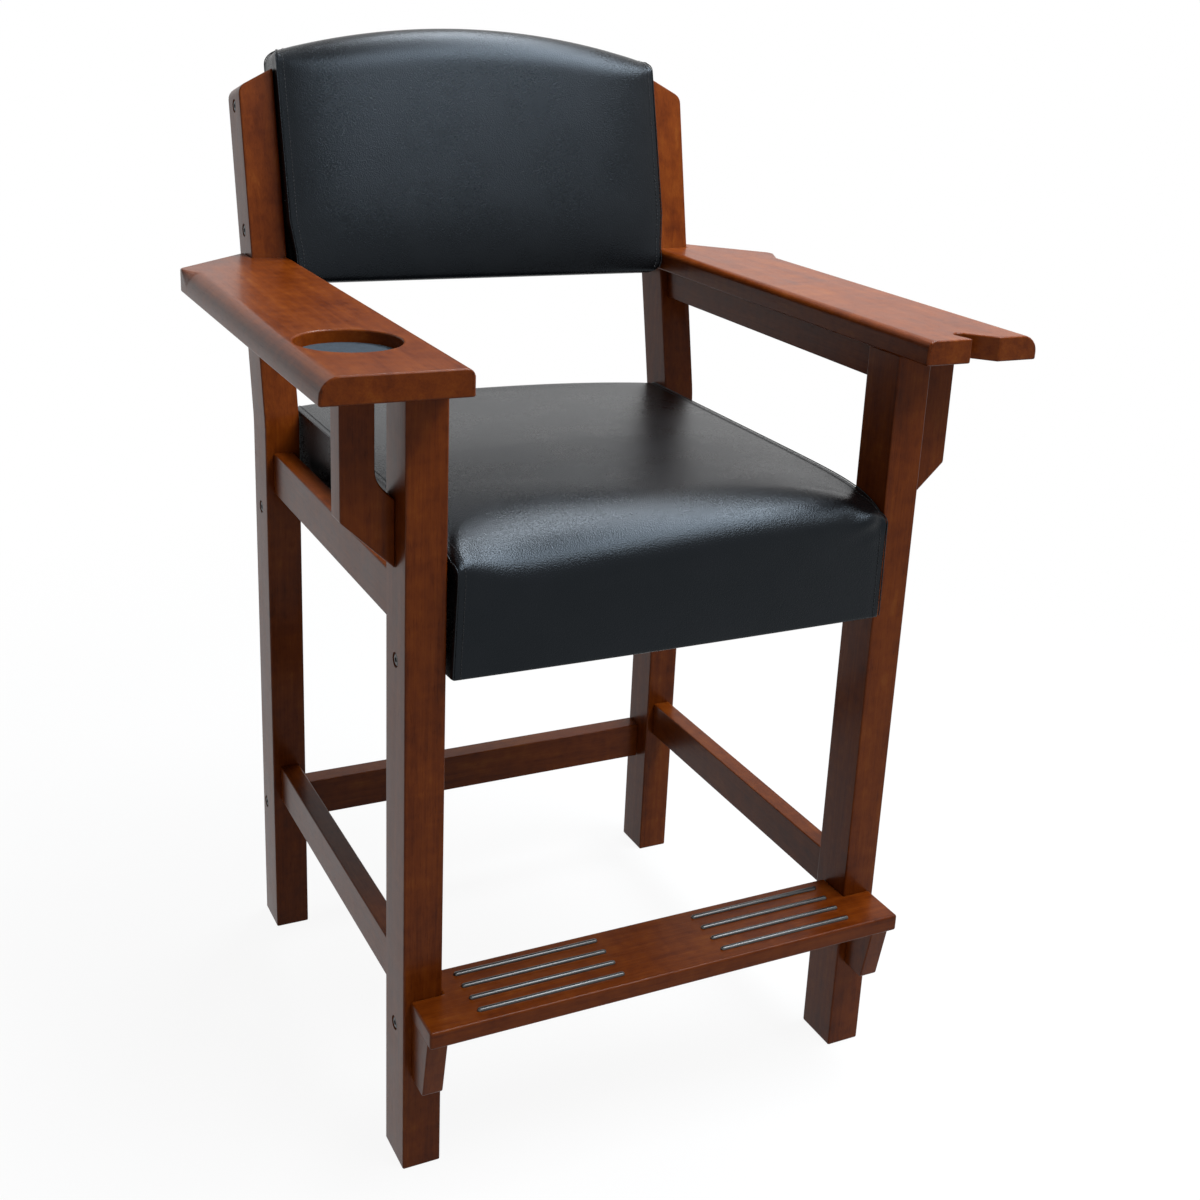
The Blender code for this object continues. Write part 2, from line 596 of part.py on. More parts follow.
def back_rest():
    """A board between the posts in an upholstered cover with an arched top, all raked with the posts."""
    wide = POST_INNER_X - GAP
    inside = wide - BACK_WALL
    depth = POST_DEPTH / 2
    rear = depth + BOARD_THICKNESS / 2
    front = depth - BOARD_THICKNESS / 2

    def outline(half, bottom, top, arch, low_round, high_round):
        radius = (half * half + arch * arch) / (2 * arch)
        swing = math.asin((half - high_round) / radius)
        ends = (math.pi / 2 - swing, math.pi / 2 + swing)
        crest = arc((0, top + arch - radius), radius, *ends, BACK_ARCH_STEPS)
        feet = rounded([(-half, bottom, low_round), (half, bottom, low_round), (half, top - high_round, 0),
                        (-half, top - high_round, 0)])
        return feet[:-1] + crest + feet[-1:]

    shape = outline(inside - GAP, BACK_BOTTOM + BACK_WALL + GAP, BACK_SIDE_TOP - BACK_TOP_PAD, BACK_ARCH,
                    BACK_CORNER_ROUND - BACK_WALL, BACK_TOP_ROUND)
    panel = place("back_board", board(shape, -rear, -front, RAKED @ FRONT_VIEW), PLYWOOD)

    skin = divided(outline(wide, BACK_BOTTOM, BACK_SIDE_TOP, BACK_ARCH, BACK_CORNER_ROUND, BACK_TOP_ROUND),
                   COVER_STEP)
    centre = (BACK_BOTTOM + BACK_SIDE_TOP) / 2
    tall = BACK_HEIGHT / 2

    def ring(depth_at, lean, inset, narrow=0.0):
        points = []
        for spot in skin:
            x = spot.x * (1 - (inset + narrow) / wide)
            v = centre + (spot.y - centre) * (1 - inset / tall)
            low = min(1.0, max(0.0, (BACK_SIDE_TOP - v) / BACK_HEIGHT))
            points.append(RAKED @ Vector((x, depth_at - lean * low, v)))
        return points

    lean = BACK_FRONT_BOTTOM - BACK_FRONT_TOP
    narrow = wide - min(wide, ARM_INNER_X - BACK_ARM_CLEARANCE)
    rings = [ring(rear + GAP + BACK_WALL, 0, BACK_WALL), ring(depth, 0, 0), ring(BACK_STEP, 0, 0),
             ring(BACK_STEP / 2, 0, 0, narrow), ring(-BACK_FRONT_TOP, lean, BACK_WALL / 2, narrow)]
    for inset, rise in crown(BACK_CROWN_RINGS, tall - BACK_CROWN_FLAT):
        rings.append(ring(-BACK_FRONT_TOP - BACK_CROWN * rise, lean, BACK_WALL + inset, narrow))
    cushion = place("back_cushion", loft(rings), VINYL)
    ceiling = BACK_SIDE_TOP - BACK_TOP_PAD + GAP
    room = outline(inside, BACK_BOTTOM - FAR, ceiling, BACK_ARCH, 0, BACK_TOP_ROUND)
    hollow = board(room, -rear - GAP, GAP - front, RAKED @ FRONT_VIEW)
    combine(cushion, cutter("back_hollow", hollow))
    return panel, cushion, inside


def baked(piece):
    """The mesh of a piece as its modifiers leave it, with the piece itself removed."""
    depsgraph = bpy.context.evaluated_depsgraph_get()
    mesh = bpy.data.meshes.new_from_object(piece.evaluated_get(depsgraph))
    for tool in [step.object for step in piece.modifiers if step.type == "BOOLEAN"]:
        bpy.data.objects.remove(tool)
    bpy.data.objects.remove(piece)
    mesh.shade_smooth()
    mesh.set_sharp_from_angle(angle=SMOOTH_ANGLE)
    return mesh


def bolt_mesh(length):
    """A connector bolt along +Z, its head's underside at zero: flat head with a hexagon socket."""
    profile = [(0, -BOLT_HEAD_THICKNESS), (BOLT_HEAD_RADIUS, -BOLT_HEAD_THICKNESS), (BOLT_HEAD_RADIUS, 0),
               (BOLT_SHANK_RADIUS, 0), (BOLT_SHANK_RADIUS, length), (0, length)]
    mesh = bpy.data.meshes.new("bolt")
    edges = [(k, k + 1) for k in range(len(profile) - 1)]
    mesh.from_pydata([(r, 0, z) for r, z in profile[::-1]], edges, [])
    bolt = place("bolt", mesh, STEEL)
    turn = bolt.modifiers.new("turned", "SCREW")
    turn.steps = turn.render_steps = BOLT_STEPS
    turn.use_merge_vertices = True
    turn.merge_threshold = MERGE_DISTANCE
    start = Matrix.Translation((0, 0, -BOLT_HEAD_THICKNESS - GAP))
    combine(bolt, cutter("socket", rod(BOLT_SOCKET_RADIUS, BOLT_SOCKET_DEPTH + GAP, SOCKET_SIDES, start)))
    return baked(bolt)


def nut_mesh():
    """A barrel nut along Z with a cross hole along X for its bolt."""
    drop = Matrix.Translation((0, 0, -NUT_LENGTH / 2))
    nut = place("nut", rod(NUT_RADIUS, NUT_LENGTH, NUT_STEPS, drop), ZINC)
    across = Matrix.Translation((-FAR / 2, 0, 0)) @ Matrix.Rotation(math.pi / 2, 4, "Y")
    combine(nut, cutter("nut_hole", rod(BOLT_SHANK_RADIUS + GAP, FAR, BOLT_STEPS, across)))
    return baked(nut)


def bolted_joint(label, side, spot, host, covers, member, reach, nut_turn, meshes):
    """A bolt through a leg or post into a barrel nut in the end of a member, with their holes."""
    name = "left" if side < 0 else "right"
    inward = Matrix.Rotation(-side * math.pi / 2, 4, "Y")
    head = Vector((side * (OUTER_X - COUNTERBORE_DEPTH), spot.y, spot.z))
    along = Matrix.Translation(head) @ inward
    nut_x = reach - NUT_SETBACK
    bolt = place("%s_%s_bolt" % (name, label), meshes[0], STEEL)
    bolt.matrix_world = along
    hole = BOLT_SHANK_RADIUS + BOLT_HOLE_CLEARANCE
    length = abs(head.x) - nut_x + BOLT_PAST_NUT + BOLT_HOLE_CLEARANCE
    passage = cutter("%s_%s_hole" % (name, label), rod(hole, length, BOLT_STEPS, along))
    start = Matrix.Translation(head + Vector((side * FAR, 0, 0))) @ inward
    bore = rod(BOLT_HEAD_RADIUS + COUNTERBORE_CLEARANCE, FAR + GAP, COUNTERBORE_STEPS, start)
    for piece in (host, *covers, member):
        combine(piece, passage)
    combine(host, cutter("%s_%s_counterbore" % (name, label), bore))
    seat_at = Matrix.Translation((side * nut_x, spot.y, spot.z)) @ nut_turn
    nut = place("%s_%s_nut" % (name, label), meshes[1], ZINC)
    nut.matrix_world = seat_at
    drill = Matrix.Translation((0, 0, -FAR + NUT_LENGTH / 2 + GAP))
    pocket = rod(NUT_RADIUS + GAP, FAR, NUT_STEPS, seat_at @ drill)
    combine(member, cutter("%s_%s_nut_pocket" % (name, label), pocket))


legs = {name: front_leg(name, side) for name, side in SIDES}
posts = {name: rear_post(name, side) for name, side in SIDES}
arms = {}
for name, side in SIDES:
    hosts = (legs[name], posts[name])
    side_rail("side_stretcher", name, side, STRETCHER_BOTTOM, STRETCHER_BOTTOM + STRETCHER_HEIGHT, hosts)
    side_rail("seat_rail", name, side, SEAT_RAIL_BOTTOM, SEAT_RAIL_BOTTOM + SEAT_RAIL_HEIGHT, hosts)
    side_rail("arm_rail", name, side, ARM_HEIGHT - GAP - ARM_RAIL_HEIGHT, ARM_HEIGHT - GAP, hosts)
    arms[name] = arm(name, side)
    arm_bracket(name, side)
cup_recess(arms["left"], -1)
cue_notch(arms["right"], 1)
footrest()

front_top = FOOTREST_HEIGHT - FOOTREST_THICKNESS - GAP
front_stretcher = cross_rail("front_stretcher", LEG_INNER_X - GAP, LEG_BOLT_Y,
                             front_top - FRONT_STRETCHER_HEIGHT, FRONT_STRETCHER_HEIGHT)
rear_stretcher_y = POST_BACK_Y - REAR_STRETCHER_INSET - CROSS_RAIL_THICKNESS / 2
rear_stretcher = cross_rail("rear_stretcher", POST_INNER_X - GAP, rear_stretcher_y,
                            REAR_STRETCHER_BOTTOM, REAR_STRETCHER_HEIGHT)
seat_rails, seat_cushion, seat_inside, seat_bolt_z = seat((LEG_BOLT_Y, POST_BOLT_Y))
back_board, back_cushion, back_inside = back_rest()

UPRIGHT = Matrix.Identity(4)
LEVEL = Matrix.Rotation(math.pi / 2 - POST_RAKE, 4, "X")
back_low = BACK_BOTTOM + BACK_BOLT_RISE
joints = [
    ("front_stretcher", legs, [], front_stretcher, LEG_INNER_X, UPRIGHT,
     Vector((0, LEG_BOLT_Y, front_top - FRONT_STRETCHER_HEIGHT / 2))),
    ("rear_stretcher", posts, [], rear_stretcher, POST_INNER_X, UPRIGHT,
     Vector((0, rear_stretcher_y, REAR_STRETCHER_BOTTOM + REAR_STRETCHER_HEIGHT / 2))),
    ("seat_front", legs, [seat_cushion], seat_rails[0], seat_inside, UPRIGHT,
     Vector((0, LEG_BOLT_Y, seat_bolt_z))),
    ("seat_rear", posts, [seat_cushion], seat_rails[1], seat_inside, UPRIGHT,
     Vector((0, POST_BOLT_Y, seat_bolt_z))),
    ("back_lower", posts, [back_cushion], back_board, back_inside, LEVEL,
     RAKED @ Vector((0, POST_DEPTH / 2, back_low))),
    ("back_upper", posts, [back_cushion], back_board, back_inside, LEVEL,
     RAKED @ Vector((0, POST_DEPTH / 2, back_low + BACK_BOLT_SPACING))),
]
nut = nut_mesh()
for label, hosts, covers, member, reach, nut_turn, spot in joints:
    bolt = bolt_mesh(OUTER_X - COUNTERBORE_DEPTH - (reach - NUT_SETBACK) + BOLT_PAST_NUT)
    for name, side in SIDES:
        bolted_joint(label, side, spot, hosts[name], covers, member, reach, nut_turn, (bolt, nut))
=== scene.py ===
"""Billiard spectator chair, dressed: lacquered wood, boxed vinyl upholstery, felt, ribs and bolts.

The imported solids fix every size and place. Left and right are as seen from the front; the chair faces -Y.
"""
import math
import random

import bmesh
import bpy
from mathutils import Matrix, Vector


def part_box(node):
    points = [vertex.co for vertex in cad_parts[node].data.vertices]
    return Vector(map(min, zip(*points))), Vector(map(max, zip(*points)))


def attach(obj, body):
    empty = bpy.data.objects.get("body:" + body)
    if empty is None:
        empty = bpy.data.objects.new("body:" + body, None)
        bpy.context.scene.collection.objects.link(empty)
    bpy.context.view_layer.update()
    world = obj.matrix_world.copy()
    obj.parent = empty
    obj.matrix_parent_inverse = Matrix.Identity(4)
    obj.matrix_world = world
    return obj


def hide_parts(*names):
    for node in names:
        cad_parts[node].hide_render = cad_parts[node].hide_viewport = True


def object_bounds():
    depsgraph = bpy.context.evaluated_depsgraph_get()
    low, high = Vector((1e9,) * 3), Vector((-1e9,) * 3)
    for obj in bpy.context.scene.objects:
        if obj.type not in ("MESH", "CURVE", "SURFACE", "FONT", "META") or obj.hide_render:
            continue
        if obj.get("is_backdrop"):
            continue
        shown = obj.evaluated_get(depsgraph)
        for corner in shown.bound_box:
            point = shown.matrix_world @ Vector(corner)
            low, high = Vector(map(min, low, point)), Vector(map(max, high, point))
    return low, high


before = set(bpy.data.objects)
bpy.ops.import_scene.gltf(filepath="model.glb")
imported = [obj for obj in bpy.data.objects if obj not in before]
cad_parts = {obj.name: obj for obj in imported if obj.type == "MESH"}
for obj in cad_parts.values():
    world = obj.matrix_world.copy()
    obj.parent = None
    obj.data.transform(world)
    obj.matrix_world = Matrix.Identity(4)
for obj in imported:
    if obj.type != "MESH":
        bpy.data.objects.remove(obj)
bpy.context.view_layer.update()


# Wooden frame: legs, posts, rails, arms, brackets and the footrest board are sawn from hardwood, eased
# along their edges, stained a reddish brown and sprayed with satin lacquer. Each board shows its own
# stretch of grain.
class Shade:
    """One socket of a finish's node tree. Arithmetic on it adds Math nodes."""

    def __init__(self, tree, socket=None):
        self.tree = tree
        self.socket = socket

    def node(self, kind, settings=None, values=None, output=0):
        """Add a node: its settings first, then the values or links of its sockets."""
        made = self.tree.nodes.new(kind)
        for name, value in (settings or {}).items():
            setattr(made, name, value)
        for name, value in (values or {}).items():
            if isinstance(value, Shade):
                self.tree.links.new(value.socket, made.inputs[name])
            else:
                made.inputs[name].default_value = value
        return Shade(self.tree, made.outputs[output])

    def maths(self, operation, first, second):
        return self.node("ShaderNodeMath", {"operation": operation}, {0: first, 1: second})

    def __add__(self, other):
        return self.maths("ADD", self, other)

    def __radd__(self, other):
        return self.maths("ADD", other, self)

    def __sub__(self, other):
        return self.maths("SUBTRACT", self, other)

    def __rsub__(self, other):
        return self.maths("SUBTRACT", other, self)

    def __mul__(self, other):
        return self.maths("MULTIPLY", self, other)

    def __rmul__(self, other):
        return self.maths("MULTIPLY", other, self)

    def above(self, edge, soft):
        """0 below an edge and 1 above it, over a soft step."""
        return self.node("ShaderNodeMapRange", {"interpolation_type": "SMOOTHSTEP"},
                         {"Value": self, "From Min": edge - soft, "From Max": edge + soft}, "Result")

    def ramp(self, *stops):
        """A colour that follows this field through (value, colour) stops."""
        made = self.tree.nodes.new("ShaderNodeValToRGB")
        points = made.color_ramp.elements
        points.remove(points[1])
        points[0].position = stops[0][0]
        points[0].color = (*stops[0][1], 1.0)
        for value, colour in stops[1:]:
            points.new(value).color = (*colour, 1.0)
        self.tree.links.new(self.socket, made.inputs["Fac"])
        return Shade(self.tree, made.outputs["Color"])

    def into(self, socket):
        self.tree.links.new(self.socket, socket)


def finish(name, constants):
    """A new material with its constant values set: the material, its tree to build on, and its shader."""
    material = bpy.data.materials.new(name)
    material.use_nodes = True
    shader = material.node_tree.nodes["Principled BSDF"]
    for socket, value in constants.items():
        shader.inputs[socket].default_value = value
    return material, Shade(material.node_tree), shader


def noise(spot, scale, detail=3.0, roughness=0.55, distortion=0.0):
    """A noise field around one half."""
    return spot.node("ShaderNodeTexNoise", {}, {"Vector": spot, "Scale": scale, "Detail": detail,
                                                "Roughness": roughness, "Distortion": distortion}, "Fac")


def relief(height, depth, strength):
    """The normal of a surface that rises by a height field times a depth in metres."""
    return height.node("ShaderNodeBump", {}, {"Height": height, "Distance": depth, "Strength": strength},
                       "Normal")


def stained_wood(axis):
    """Stained and lacquered hardwood with its grain along an axis."""
    material, start, shader = finish("stained_wood_along_" + axis, {
        "Specular IOR Level": 0.08, "Coat Roughness": 0.14, "Coat IOR": 1.35})
    place = start.node("ShaderNodeTexCoord", output="Object")
    shift = start.node("ShaderNodeAttribute", {"attribute_name": "board_shift"}, output="Vector")
    spot = start.node("ShaderNodeVectorMath", {"operation": "ADD"}, {0: place, 1: shift})

    def figure(across, along, detail, distortion):
        squeeze = [across, across, across]
        squeeze["xyz".index(axis)] = along
        drawn = start.node("ShaderNodeMapping", {}, {"Vector": spot, "Scale": squeeze})
        return noise(drawn, 1.0, detail, 0.6, distortion)

    rings = figure(62.0, 2.6, 3.0, 0.7)
    fibres = figure(520.0, 14.0, 2.0, 0.0)
    pores = figure(1500.0, 70.0, 1.0, 0.0).above(0.66, 0.05)
    blotches = figure(22.0, 12.0, 2.0, 0.4)
    curl = figure(9.0, 55.0, 1.0, 0.5)
    mottle = figure(95.0, 60.0, 2.0, 0.3)
    tone = 0.50 * rings + 0.28 * fibres + 0.42 * blotches + 0.20 * curl + 0.34 * mottle - 0.37
    tone = tone - 0.12 * pores
    colour = tone.ramp((0.18, (0.045, 0.0068, 0.0005)), (0.40, (0.098, 0.0178, 0.0012)),
                       (0.58, (0.138, 0.0285, 0.0024)), (0.84, (0.206, 0.0580, 0.0072)))
    colour.into(shader.inputs["Base Color"])
    sheen = 0.27 + 0.10 * blotches + 0.05 * pores
    sheen.into(shader.inputs["Roughness"])
    lacquer = 0.09 - 0.06 * pores
    lacquer.into(shader.inputs["Coat Weight"])
    relief(fibres - 0.8 * pores, 0.00012, 0.35).into(shader.inputs["Normal"])
    return material


def placed(name, data):
    """A new object in the scene."""
    made = bpy.data.objects.new(name, data)
    bpy.context.scene.collection.objects.link(made)
    return made


def coat(mesh, material):
    """Give a mesh one finish."""
    mesh.materials.clear()
    mesh.materials.append(material)


def settle(name, mesh, slot, *stands_for):
    """Put a finished mesh on the chair, in place of the solids that it stands for."""
    piece = placed(name, mesh)
    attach(piece, "root")
    if stands_for:
        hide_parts(*stands_for)
    return piece


def realised(holder):
    """The plain mesh of an object with its modifiers applied. The object itself is removed."""
    depsgraph = bpy.context.evaluated_depsgraph_get()
    done = bpy.data.meshes.new_from_object(holder.evaluated_get(depsgraph))
    bpy.data.objects.remove(holder)
    return done


def plain(mesh, modifiers):
    """A mesh with a list of (type, settings) modifiers applied."""
    holder = placed("holder", mesh)
    for kind, settings in modifiers:
        step = holder.modifiers.new(kind.lower(), kind)
        for name, value in settings.items():
            setattr(step, name, value)
    return realised(holder)


MERGE = 1e-5
SHARP = math.radians(38.0)
SAME_PLANE = math.radians(0.6)
KEPT_CREASE = math.radians(60.0)
GRAIN_SHIFT = 3.0
grain_of = {"x": ["front_stretcher", "rear_stretcher", "footrest_board", "seat_front_rail",
                  "seat_rear_rail"], "y": [], "z": []}
eased_already = set()
for side in ("left_", "right_"):
    grain_of["y"] += [side + name for name in ("arm_rail", "seat_rail", "side_stretcher")]
    grain_of["z"] += [side + name for name in ("front_leg", "rear_post", "arm_bracket", "footrest_bracket")]
    eased_already.update(side + name for name in ("front_leg", "rear_post", "arm_bracket"))
RAIL_ROUND_OVER = 0.0016
FOOTREST_ROUND_OVER = 0.0028
chance = random.Random(7)


def sawn(node):
    """A solid's shape with its triangles merged into whole faces."""
    shape = bmesh.new()
    shape.from_mesh(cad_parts[node].data)
    bmesh.ops.remove_doubles(shape, verts=shape.verts, dist=MERGE)
    bmesh.ops.dissolve_limit(shape, angle_limit=SAME_PLANE, verts=shape.verts, edges=shape.edges)
    return shape


def lacquered(node, shape, wood, ease):
    """Ease a board's sharp edges, give it its own stretch of grain and put it on the chair."""
    board = bpy.data.meshes.new(node + "_board")
    shape.to_mesh(board)
    shape.free()
    steps = [("WEIGHTED_NORMAL", {"keep_sharp": True})]
    if ease:
        steps.insert(0, ("BEVEL", {"width": ease, "segments": 3, "limit_method": "ANGLE",
                                   "angle_limit": SHARP, "use_clamp_overlap": False}))
    board.shade_smooth()
    board.set_sharp_from_angle(angle=math.pi if ease else KEPT_CREASE)
    board = plain(board, steps)
    shift = [chance.uniform(-GRAIN_SHIFT, GRAIN_SHIFT) for axis in "xyz"]
    spread = board.attributes.new("board_shift", "FLOAT_VECTOR", "POINT")
    spread.data.foreach_set("vector", shift * len(board.vertices))
    coat(board, wood)
    settle(node + "_timber", board, "stained_wood", node)


wood_along = {axis: stained_wood(axis) for axis in "xyz"}
for axis, boards in grain_of.items():
    for node in boards:
        if node in eased_already:
            ease = 0.0
        else:
            ease = FOOTREST_ROUND_OVER if node == "footrest_board" else RAIL_ROUND_OVER
        lacquered(node, sawn(node), wood_along[axis], ease)


# Arms: wide boards that lie on the leg and the arm rail, cut round the post and fixed from below. The
# bullnose on the outer edge runs out just ahead of the rear corner. A cup stands in the left arm, a cue in
# the right arm's notch.
ARM_ROUND_OVER = 0.0021
BULLNOSE_RUN_OUT = 0.0105            # behind where the bullnose's cut stops, and ahead of it
BULLNOSE_FADE = 0.0160
CUP_RADIUS = 0.052
CUP_CUTS = 2
CUP_WALL = 1e-4                      # off the cup's radius, for its first edges and for the cut ones
CUP_CHORD = 0.001
felt_low, felt_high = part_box("cup_felt")
cup_middle = (felt_low + felt_high) / 2
for side in (-1, 1):
    node = "left_arm" if side < 0 else "right_arm"
    low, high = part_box(node)
    edge = low.x if side < 0 else high.x
    shape = sawn(node)
    rim = [vert for vert in shape.verts if abs(vert.co.x - edge) < MERGE and high.z - vert.co.z < MERGE]
    stop = min(rim, key=lambda vert: vert.co.y)
    moon = [face for face in stop.link_faces if abs(face.normal.y) > 0.99]
    stop.co.y += BULLNOSE_RUN_OUT
    for face in moon:
        turn = list(face.verts)
        first = turn.index(stop)
        turn = turn[first:] + turn[:first]
        for vert in turn[1:]:
            vert.co.y -= BULLNOSE_FADE
        bmesh.ops.delete(shape, geom=[face], context="FACES_ONLY")
        for near, far in zip(turn[1:], turn[2:]):
            shape.faces.new((stop, near, far))
    if side < 0:
        def from_cup(vert):
            return math.hypot(vert.co.x - cup_middle.x, vert.co.y - cup_middle.y)

        ring = [edge for edge in shape.edges if abs(edge.verts[0].co.z - edge.verts[1].co.z) < MERGE
                and all(abs(from_cup(vert) - CUP_RADIUS) < CUP_WALL for vert in edge.verts)]
        bmesh.ops.subdivide_edges(shape, edges=ring, cuts=CUP_CUTS)
        for vert in shape.verts:
            reach = from_cup(vert)
            if abs(reach - CUP_RADIUS) < CUP_CHORD:
                vert.co.x = cup_middle.x + (vert.co.x - cup_middle.x) * CUP_RADIUS / reach
                vert.co.y = cup_middle.y + (vert.co.y - cup_middle.y) * CUP_RADIUS / reach
    lacquered(node, shape, wood_along["y"], ARM_ROUND_OVER)


# Plywood: the seat's deck and the board inside the back rest, raw birch ply that the upholstery hides.
# Of both, only the board's lower edge can be seen, in its slot from below.
plywood, start, shader = finish("bare_plywood", {"Specular IOR Level": 0.3})
place = start.node("ShaderNodeTexCoord", output="Object")
drawn = start.node("ShaderNodeMapping", {}, {"Vector": place, "Scale": (4.0, 60.0, 60.0)})
streak = noise(drawn, 1.0, 4.0)
streak.ramp((0.3, (0.36, 0.23, 0.12)), (0.7, (0.52, 0.37, 0.21))).into(shader.inputs["Base Color"])
(0.62 + 0.2 * streak).into(shader.inputs["Roughness"])
relief(streak, 0.0002, 0.4).into(shader.inputs["Normal"])
for node in ("seat_deck", "back_board"):
    coat(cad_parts[node].data, plywood)


# Seat: foam over a plywood deck, covered in black vinyl. One panel wraps from the bottom of the front over
# the soft front roll and the crowned top to the rear; a boxed gusset closes each side, with a sewn seam
# between.
def clamp(value):
    return max(0.0, min(1.0, value))


def boxed_cover(wrap, underside, faces, tops, columns):
    """A closed cover: rows of a wrapped panel, an underside, and gussets filled in between at both ends."""
    shape = bmesh.new()
    last = 2 * faces + tops
    panel = [[shape.verts.new(wrap(row, u)) for u in columns] for row in range(last + 1)]
    floor = [panel[0]]
    for k in range(1, tops):
        floor.append([shape.verts.new(underside(k, i)) for i in range(len(columns))])
    floor.append(panel[last])
    patches = [panel, floor]
    gussets = []
    for end in (0, len(columns) - 1):
        rows = [[floor[k][end] for k in range(tops + 1)]]
        top = [panel[faces + k][end] for k in range(tops + 1)]
        front = [panel[t][end] for t in range(faces + 1)]
        rear = [panel[last - t][end] for t in range(faces + 1)]
        for t in range(1, faces):
            b = t / faces
            row = [front[t]]
            for k in range(1, tops):
                a = k / tops
                spot = rows[0][k].co * (1 - b) + top[k].co * b + front[t].co * (1 - a) + rear[t].co * a
                spot -= (front[0].co * (1 - a) + rear[0].co * a) * (1 - b)
                spot -= (front[faces].co * (1 - a) + rear[faces].co * a) * b
                row.append(shape.verts.new(spot))
            rows.append(row + [rear[t]])
        rows.append(top)
        patches.append(rows)
        gussets.append(rows)
    for rows in patches:
        for lower, upper in zip(rows, rows[1:]):
            for k in range(len(lower) - 1):
                shape.faces.new((lower[k], lower[k + 1], upper[k + 1], upper[k]))
    bmesh.ops.recalc_face_normals(shape, faces=shape.faces)
    shape.verts.index_update()
    grid = [[vert.index for vert in row] for row in panel]
    beneath = [[vert.index for vert in row] for row in floor]
    sides = [[[vert.index for vert in row] for row in rows] for rows in gussets]
    mesh = bpy.data.meshes.new("cover")
    shape.to_mesh(mesh)
    shape.free()
    return mesh, grid, beneath, sides


def held_at(grid, floor, sides, fixed):
    """How firmly each point of a cover is held: underside, gussets, seams and some whole rows."""
    held = {index: 1.0 for row in floor for index in row}
    for rows in sides:
        held.update({index: GUSSET_HOLD for row in rows for index in row})
    for row in grid:
        held.update({row[0]: 1.0, row[1]: SEAM_HOLD, row[-2]: SEAM_HOLD, row[-1]: 1.0})
    for row in fixed:
        held.update({index: 1.0 for index in row})
    return held


def stuffed(mesh, held, pressure, shrink, cap):
    """Swell a cover over its filling: cloth under pressure, held where it is fixed, its travel capped."""
    cover = placed("cover", mesh)
    group = cover.vertex_groups.new(name="held")
    for index, weight in held.items():
        group.add([index], weight, "REPLACE")
    cloth = cover.modifiers.new("cloth", "CLOTH")
    for name, value in CLOTH.items():
        setattr(cloth.settings, name, value)
    cloth.settings.uniform_pressure_force = pressure
    cloth.settings.shrink_min = shrink
    cloth.settings.effector_weights.gravity = 0.0
    cloth.collision_settings.use_collision = False
    cloth.point_cache.frame_start = 1
    cloth.point_cache.frame_end = SIM_FRAMES
    for step in range(1, SIM_FRAMES + 1):
        bpy.context.scene.frame_set(step)
    depsgraph = bpy.context.evaluated_depsgraph_get()
    swollen = [vert.co.copy() for vert in cover.evaluated_get(depsgraph).data.vertices]
    bpy.data.objects.remove(cover)
    bpy.context.scene.frame_set(1)
    for vert, spot in zip(mesh.vertices, swollen):
        travel = spot - vert.co
        vert.co += travel * (cap / (cap + travel.length))


def sewn_down(mesh, rows):
    """Sink the line of stitches along both edges of a panel."""
    for row in rows:
        for column, share in ((1, 0.45), (2, 1.0), (3, 0.35)):
            for index in (row[column], row[-1 - column]):
                vert = mesh.vertices[index]
                vert.co -= vert.normal * STITCH_SINK * share


SIM_FRAMES = 20
CLOTH = {"vertex_group_mass": "held", "quality": 5, "mass": 0.4, "tension_stiffness": 18.0,
         "compression_stiffness": 18.0, "shear_stiffness": 8.0, "bending_stiffness": 3.0,
         "use_pressure": True}
GUSSET_HOLD = 0.995
SEAM_HOLD = 0.98
STITCH_SINK = 0.0004
SEAM_COLUMNS = (0.003, 0.008)       # from the seam to the two columns beside it
seat_low, seat_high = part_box("seat_cushion")
deck_low, deck_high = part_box("seat_deck")
SEAT_SEAM_HEIGHT = 0.722
SEAT_FRONT_SAG = 0.033
SEAT_SAG_RUN = 0.035
SEAT_CROWN = 0.0150
SEAT_REAR_CROWN = 0.0095
SEAT_ROLL_RISE = 0.052              # front roll's height; more at the left, less at the right; at the seams
SEAT_ROLL_LEAN = 0.022
SEAT_ROLL_END = 0.009
SEAT_ROLL_REACH = 1.7               # depth over height
SEAT_REAR_ROLL = 0.016
SEAT_LOWER_ROUND = 0.003
SEAT_HALF = 0.2550
SEAT_FRONT_TUCK = (0.0045, 0.0015)  # seam's inset at the left and right front corners
SEAT_TUCK_RUN = 0.030
SEAT_TUCK_RISE = 0.100
SEAT_BOW = 0.0025                   # front face, bowed out in the middle
CAVITY_CLEARANCE = 0.0004
LOWER_STEPS, FACE_STEPS, ROLL_STEPS, TOP_STEPS, REAR_STEPS = 3, 20, 12, 92, 5
faces = LOWER_STEPS + FACE_STEPS
tops = ROLL_STEPS + TOP_STEPS + REAR_STEPS


def across(half, step):
    """Places across a panel from -1 to 1, with two narrow columns for the seam at each end."""
    near, far = (column / half for column in SEAM_COLUMNS)
    count = round(2 * (half - SEAM_COLUMNS[1]) / step)
    middle = [-1 + far + (2 - 2 * far) * k / count for k in range(count + 1)]
    return [-1, -1 + near] + middle + [1 - near, 1]


def seat_top(u, y):
    """Height of the seat's top panel."""
    run = (y - seat_low.y) / (seat_high.y - seat_low.y)
    crown = SEAT_CROWN + (SEAT_REAR_CROWN - SEAT_CROWN) * max(0.0, run - 0.5) * 2
    sag = SEAT_FRONT_SAG * math.exp(-(y - seat_low.y) / SEAT_SAG_RUN) * (0.15 + 0.85 * u ** 4)
    return SEAT_SEAM_HEIGHT - sag + crown * (1 - abs(u) ** 2.4)


